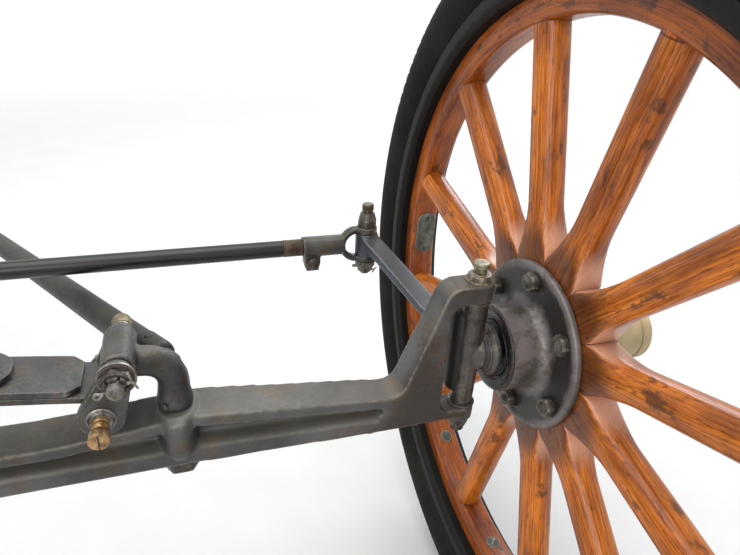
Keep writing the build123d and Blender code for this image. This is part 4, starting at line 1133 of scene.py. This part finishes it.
# Transverse spring: leaves of rounded flat bar, arched beyond their flat middle
LEAF_HALF = 22.2
LEAF_T = 5.0
LEAF_PITCH = 5.2
LEAF_ARC_R = 1600.0
LEAF_FLAT = 62.0          # half the flat middle
LEAF_STEPS = 24
END_RUN = 24              # a leaf's end is drawn finer over this length
END_R = 21.9              # radius of a round end
SPRING_EYE_R = 12.0
eye_run = SPRING_EYE.x - LEAF_FLAT
arc_centre = SPRING_EYE.y - math.sqrt((LEAF_ARC_R - SPRING_EYE_R) ** 2 - eye_run ** 2)
eye_turn = math.asin(eye_run / (LEAF_ARC_R - SPRING_EYE_R))


def on_arc(radius, turn):
    """Place on a leaf beyond its flat middle, by the arc's radius and the angle turned."""
    return at(LEAF_FLAT + radius * math.sin(turn), 0, arc_centre + radius * math.cos(turn))


def bar_section(half_width, half_thickness=LEAF_T / 2, edge=0.9):
    return boxed(half_thickness, half_width, edge, 3)


def both_ways(half_path):
    """The path continued to its mirror image on the car's right."""
    return [Vector((-p.x, p.y, p.z)) for p in reversed(half_path)] + half_path


# Each leaf's reach, and whether its end has clipped corners instead of being round
leaf_ends = ((328, True), (286, False), (242, False), (198, False), (154, False), (110, False))
leaves = Form()
for index, (reach, clipped) in enumerate(leaf_ends):
    radius = LEAF_ARC_R + 0.2 + index * LEAF_PITCH + LEAF_T / 2
    end = math.asin((reach - LEAF_FLAT) / radius)
    backs = [back for back in (0, 0.8, 2.5, 5, 8, 12, 17, 22) if back < end * radius - 2]
    steps = [end * part / LEAF_STEPS for part in range(LEAF_STEPS)]
    steps = [turn for turn in steps if turn * radius < end * radius - END_RUN]
    steps += [end - back / radius for back in reversed(backs)]
    halves = []
    for turn in steps:
        back = (end - turn) * radius + 0.6
        if clipped:
            halves.append(min(LEAF_HALF, LEAF_HALF - 8 + back))
        else:
            halves.append(math.sqrt(END_R ** 2 - max(END_R - back, 0) ** 2) + 0.3)
    leaves.tube(both_ways([on_arc(radius, turn) for turn in steps]),
                [bar_section(half) for half in halves[::-1] + halves])
piece("stacked_leaves", leaves, "axle", leaf_steel, ["spring_leaves"])

EYE_MID_R = 9.5
EYE_SWEEP = 298           # degrees that the main leaf is rolled around its eye
EYE_STEPS = 30
mid_r = LEAF_ARC_R - LEAF_T / 2
main_path = [on_arc(mid_r, eye_turn * part / LEAF_STEPS) for part in range(LEAF_STEPS)]
for part in range(EYE_STEPS + 1):
    angle = math.pi / 2 - eye_turn - math.radians(EYE_SWEEP) * part / EYE_STEPS
    main_path.append(at(SPRING_EYE.x + EYE_MID_R * math.cos(angle), 0,
                        SPRING_EYE.y + EYE_MID_R * math.sin(angle)))
main_leaf = Form().tube(both_ways(main_path), bar_section(LEAF_HALF, 2.48))
piece("rolled_main_leaf", main_leaf, "axle", leaf_steel, ["main_leaf"], 50)

# Spring clips with threaded studs, and straps around the longest leaves
CLIP_X = 45.0
CLIP_R = 4.75
clip_side = LEAF_HALF + 1.5 + CLIP_R
clip_under = arc_centre + LEAF_ARC_R - LEAF_T - 0.3 - CLIP_R
THREAD_L = 30
thread_foot = -wheel_centre.z + 48 - THREAD_L
clips = Form()
for x in (-CLIP_X, CLIP_X):
    corners = ((x, -clip_side, thread_foot, 0), (x, -clip_side, clip_under, 5.4),
               (x, clip_side, clip_under, 5.4), (x, clip_side, thread_foot, 0))
    path = [at(*p) for p in rounded(corners, 8, False)]
    clips.tube(path, circle(CLIP_R, 20), LEFT)
    for y in (-clip_side, clip_side):
        thread = [(0, 0)] + stud_thread(0.3, THREAD_L - 0.8, CLIP_R, 1.25, 0.5)
        thread += [(THREAD_L, 3.4), (THREAD_L, 0)]
        clips.turned(thread, at(x, y, thread_foot), UP, 20)
piece("bent_clips", clips, "axle", bolt_steel, ["spring_clips"], 50)

STRAP_X = 253.0
strap_r = LEAF_ARC_R - LEAF_PITCH + (3 * LEAF_PITCH + 0.2) / 2
strap_turn = math.asin((STRAP_X - LEAF_FLAT) / strap_r)
strap_mid = on_arc(strap_r, strap_turn)
along_leaf = Vector((math.cos(strap_turn), 0, -math.sin(strap_turn)))
off_leaf = Vector((math.sin(strap_turn), 0, math.cos(strap_turn)))
strap = Form().tube(
    [strap_mid + REAR * p.x + off_leaf * p.y for p in boxed(24, 9.5, 2.6, 6)],
    bar_section(8, 1.48, 0.7), along_leaf, closed=True,
)
strap.take(strap.copy(), Matrix.Scale(-1, 4, LEFT))
piece("rebound_straps", strap, "axle", leaf_steel, ["rebound_clips"])

# Radius rods: tubes with a worn ferrule at each end, meeting in a forged ball behind the axle
ROD_R = 12.5
ROD_START = 20.0
ROD_END = 52.0
rod_foot = at(PERCH_X, 0, 28.0)
ball_point = at(0, 760.0, -82.0)  # where both rods meet
rod_dir = (ball_point - rod_foot).normalized()
rod_stop = (ball_point - rod_foot).length - ROD_END
rod_line = rounded((  # along, radius, corner radius
    (ROD_START - 9, 0.02, 0),
    (ROD_START - 9, ROD_R, 9.0),
    (ROD_START + 24, ROD_R, 1.0),
    (ROD_START + 26, ROD_R - 0.7, 1.0),
    (rod_stop - 26, ROD_R - 0.7, 1.0),
    (rod_stop - 24, ROD_R, 1.0),
    (rod_stop, ROD_R, 1.0),
    (rod_stop, 0.02, 0),
), 6, False)
radius_rod = Form().turned(rod_line, rod_foot, rod_dir, 40)
for along in (ROD_START + 14, rod_stop - 14):
    radius_rod.turned([(0, 0), (0, 3.4), (0.9, 3.1), (1.7, 1.9), (1.9, 0)],
                      rod_foot + rod_dir * along + UP * (ROD_R - 0.5), UP, 16)
pair("drawn_radius_rod", radius_rod, AXLES, dusty_paint, ["radius_rod"])
piece("forged_radius_ball", Form().copy_node("radius_ball").forged(1.6), "axle",
      axle_iron, ["radius_ball"], 60)

# Studio: pale floor under the tyres, fading into a white background, and soft lamps
TYRE_R = 381.02
floor_mesh = bmesh.new()
bmesh.ops.create_grid(floor_mesh, x_segments=1, y_segments=1, size=14.0)
floor_data = bpy.data.meshes.new("floor")
floor_mesh.to_mesh(floor_data)
floor = bpy.data.objects.new("floor", floor_data)
floor.location.z = (wheel_centre.z - TYRE_R) * MM - 0.0005  # just under the tyres
scene.collection.objects.link(floor)

floor_finish, tree = new_finish("studio_floor")
spots = add(tree, "TexCoord", {}, "Object")
cloud = add(tree, "TexNoise", {"Vector": spots, "Scale": 9.0, "Detail": 6.0})
pale = laid_on(tree, colour("#DDDDDA"), cloud, 1.0, "#E9E9E7")
cover = add(tree, "BsdfPrincipled", {"Base Color": pale, "Roughness": 0.85})
distance = add(tree, "VectorMath", {0: spots}, "Value", operation="LENGTH")
clear = add(tree, "BsdfTransparent", {})
seen = add(tree, "MixShader", {0: mask(tree, (distance, 1.4, 3.8)), 1: cover, 2: clear})
add(tree, "OutputMaterial", {"Surface": seen})
floor.data.materials.append(floor_finish)

world = bpy.data.worlds.new("studio")
scene.world = world
world.use_nodes = True
tree = world.node_tree
tree.nodes.clear()
direct = 0.0
for kind in ("Is Camera Ray", "Is Transmission Ray", "Is Glossy Ray"):
    ray = add(tree, "LightPath", {}, kind)
    direct = add(tree, "Math", {0: direct, 1: ray}, operation="MAXIMUM")
light = add(tree, "Background", {"Color": colour("#F2F5FA"), "Strength": 0.75})
white = add(tree, "Background", {"Color": (1, 1, 1, 1), "Strength": 1.0})
sky = add(tree, "MixShader", {0: direct, 1: light, 2: white})
add(tree, "OutputWorld", {"Surface": sky})


def lamp(name, place, target, size, power, tint):
    """A soft rectangular lamp; its places and size are in metres, its power in watts."""
    data = bpy.data.lights.new(name, "AREA")
    data.shape = "RECTANGLE"
    data.size, data.size_y = size
    data.energy = power
    data.color = colour(tint)[:3]
    made = bpy.data.objects.new(name, data)
    made.location = Vector(place)
    made.rotation_euler = (Vector(target) - Vector(place)).to_track_quat("-Z", "Y").to_euler()
    scene.collection.objects.link(made)


lamp("overhead", (0.2, 0.2, 2.6), (0.4, 0.0, 0.0), (2.6, 2.2), 54, "#FFFFFF")
lamp("rear_left", (2.2, 2.6, 1.6), (0.5, 0.0, -0.1), (1.6, 1.2), 45, "#F6F9FF")
lamp("front_fill", (-1.2, -2.6, 1.4), (0.4, 0.0, -0.1), (1.8, 1.4), 40, "#FFF9F0")

# Camera: in front of the left wheel and inboard of it, looking down and rearward
CAMERA_PLACE = Vector((404.05, -379.26, 210.28))
VIEW_AHEAD = Vector((0.30222, 0.83909, -0.45231))
VIEW_UP = Vector((0.09345, 0.44614, 0.89008))
camera = bpy.data.objects.new("camera", bpy.data.cameras.new("camera"))
camera.data.lens = 28.18
camera.data.sensor_width = 36
camera.data.clip_start = 0.02
sideways = VIEW_AHEAD.cross(VIEW_UP).normalized()
upward = sideways.cross(VIEW_AHEAD).normalized()
facing = Matrix((sideways, upward, -VIEW_AHEAD.normalized())).transposed().to_4x4()
camera.matrix_world = Matrix.Translation(CAMERA_PLACE * MM) @ facing
scene.collection.objects.link(camera)
scene.camera = camera
scene.view_settings.view_transform = "Standard"
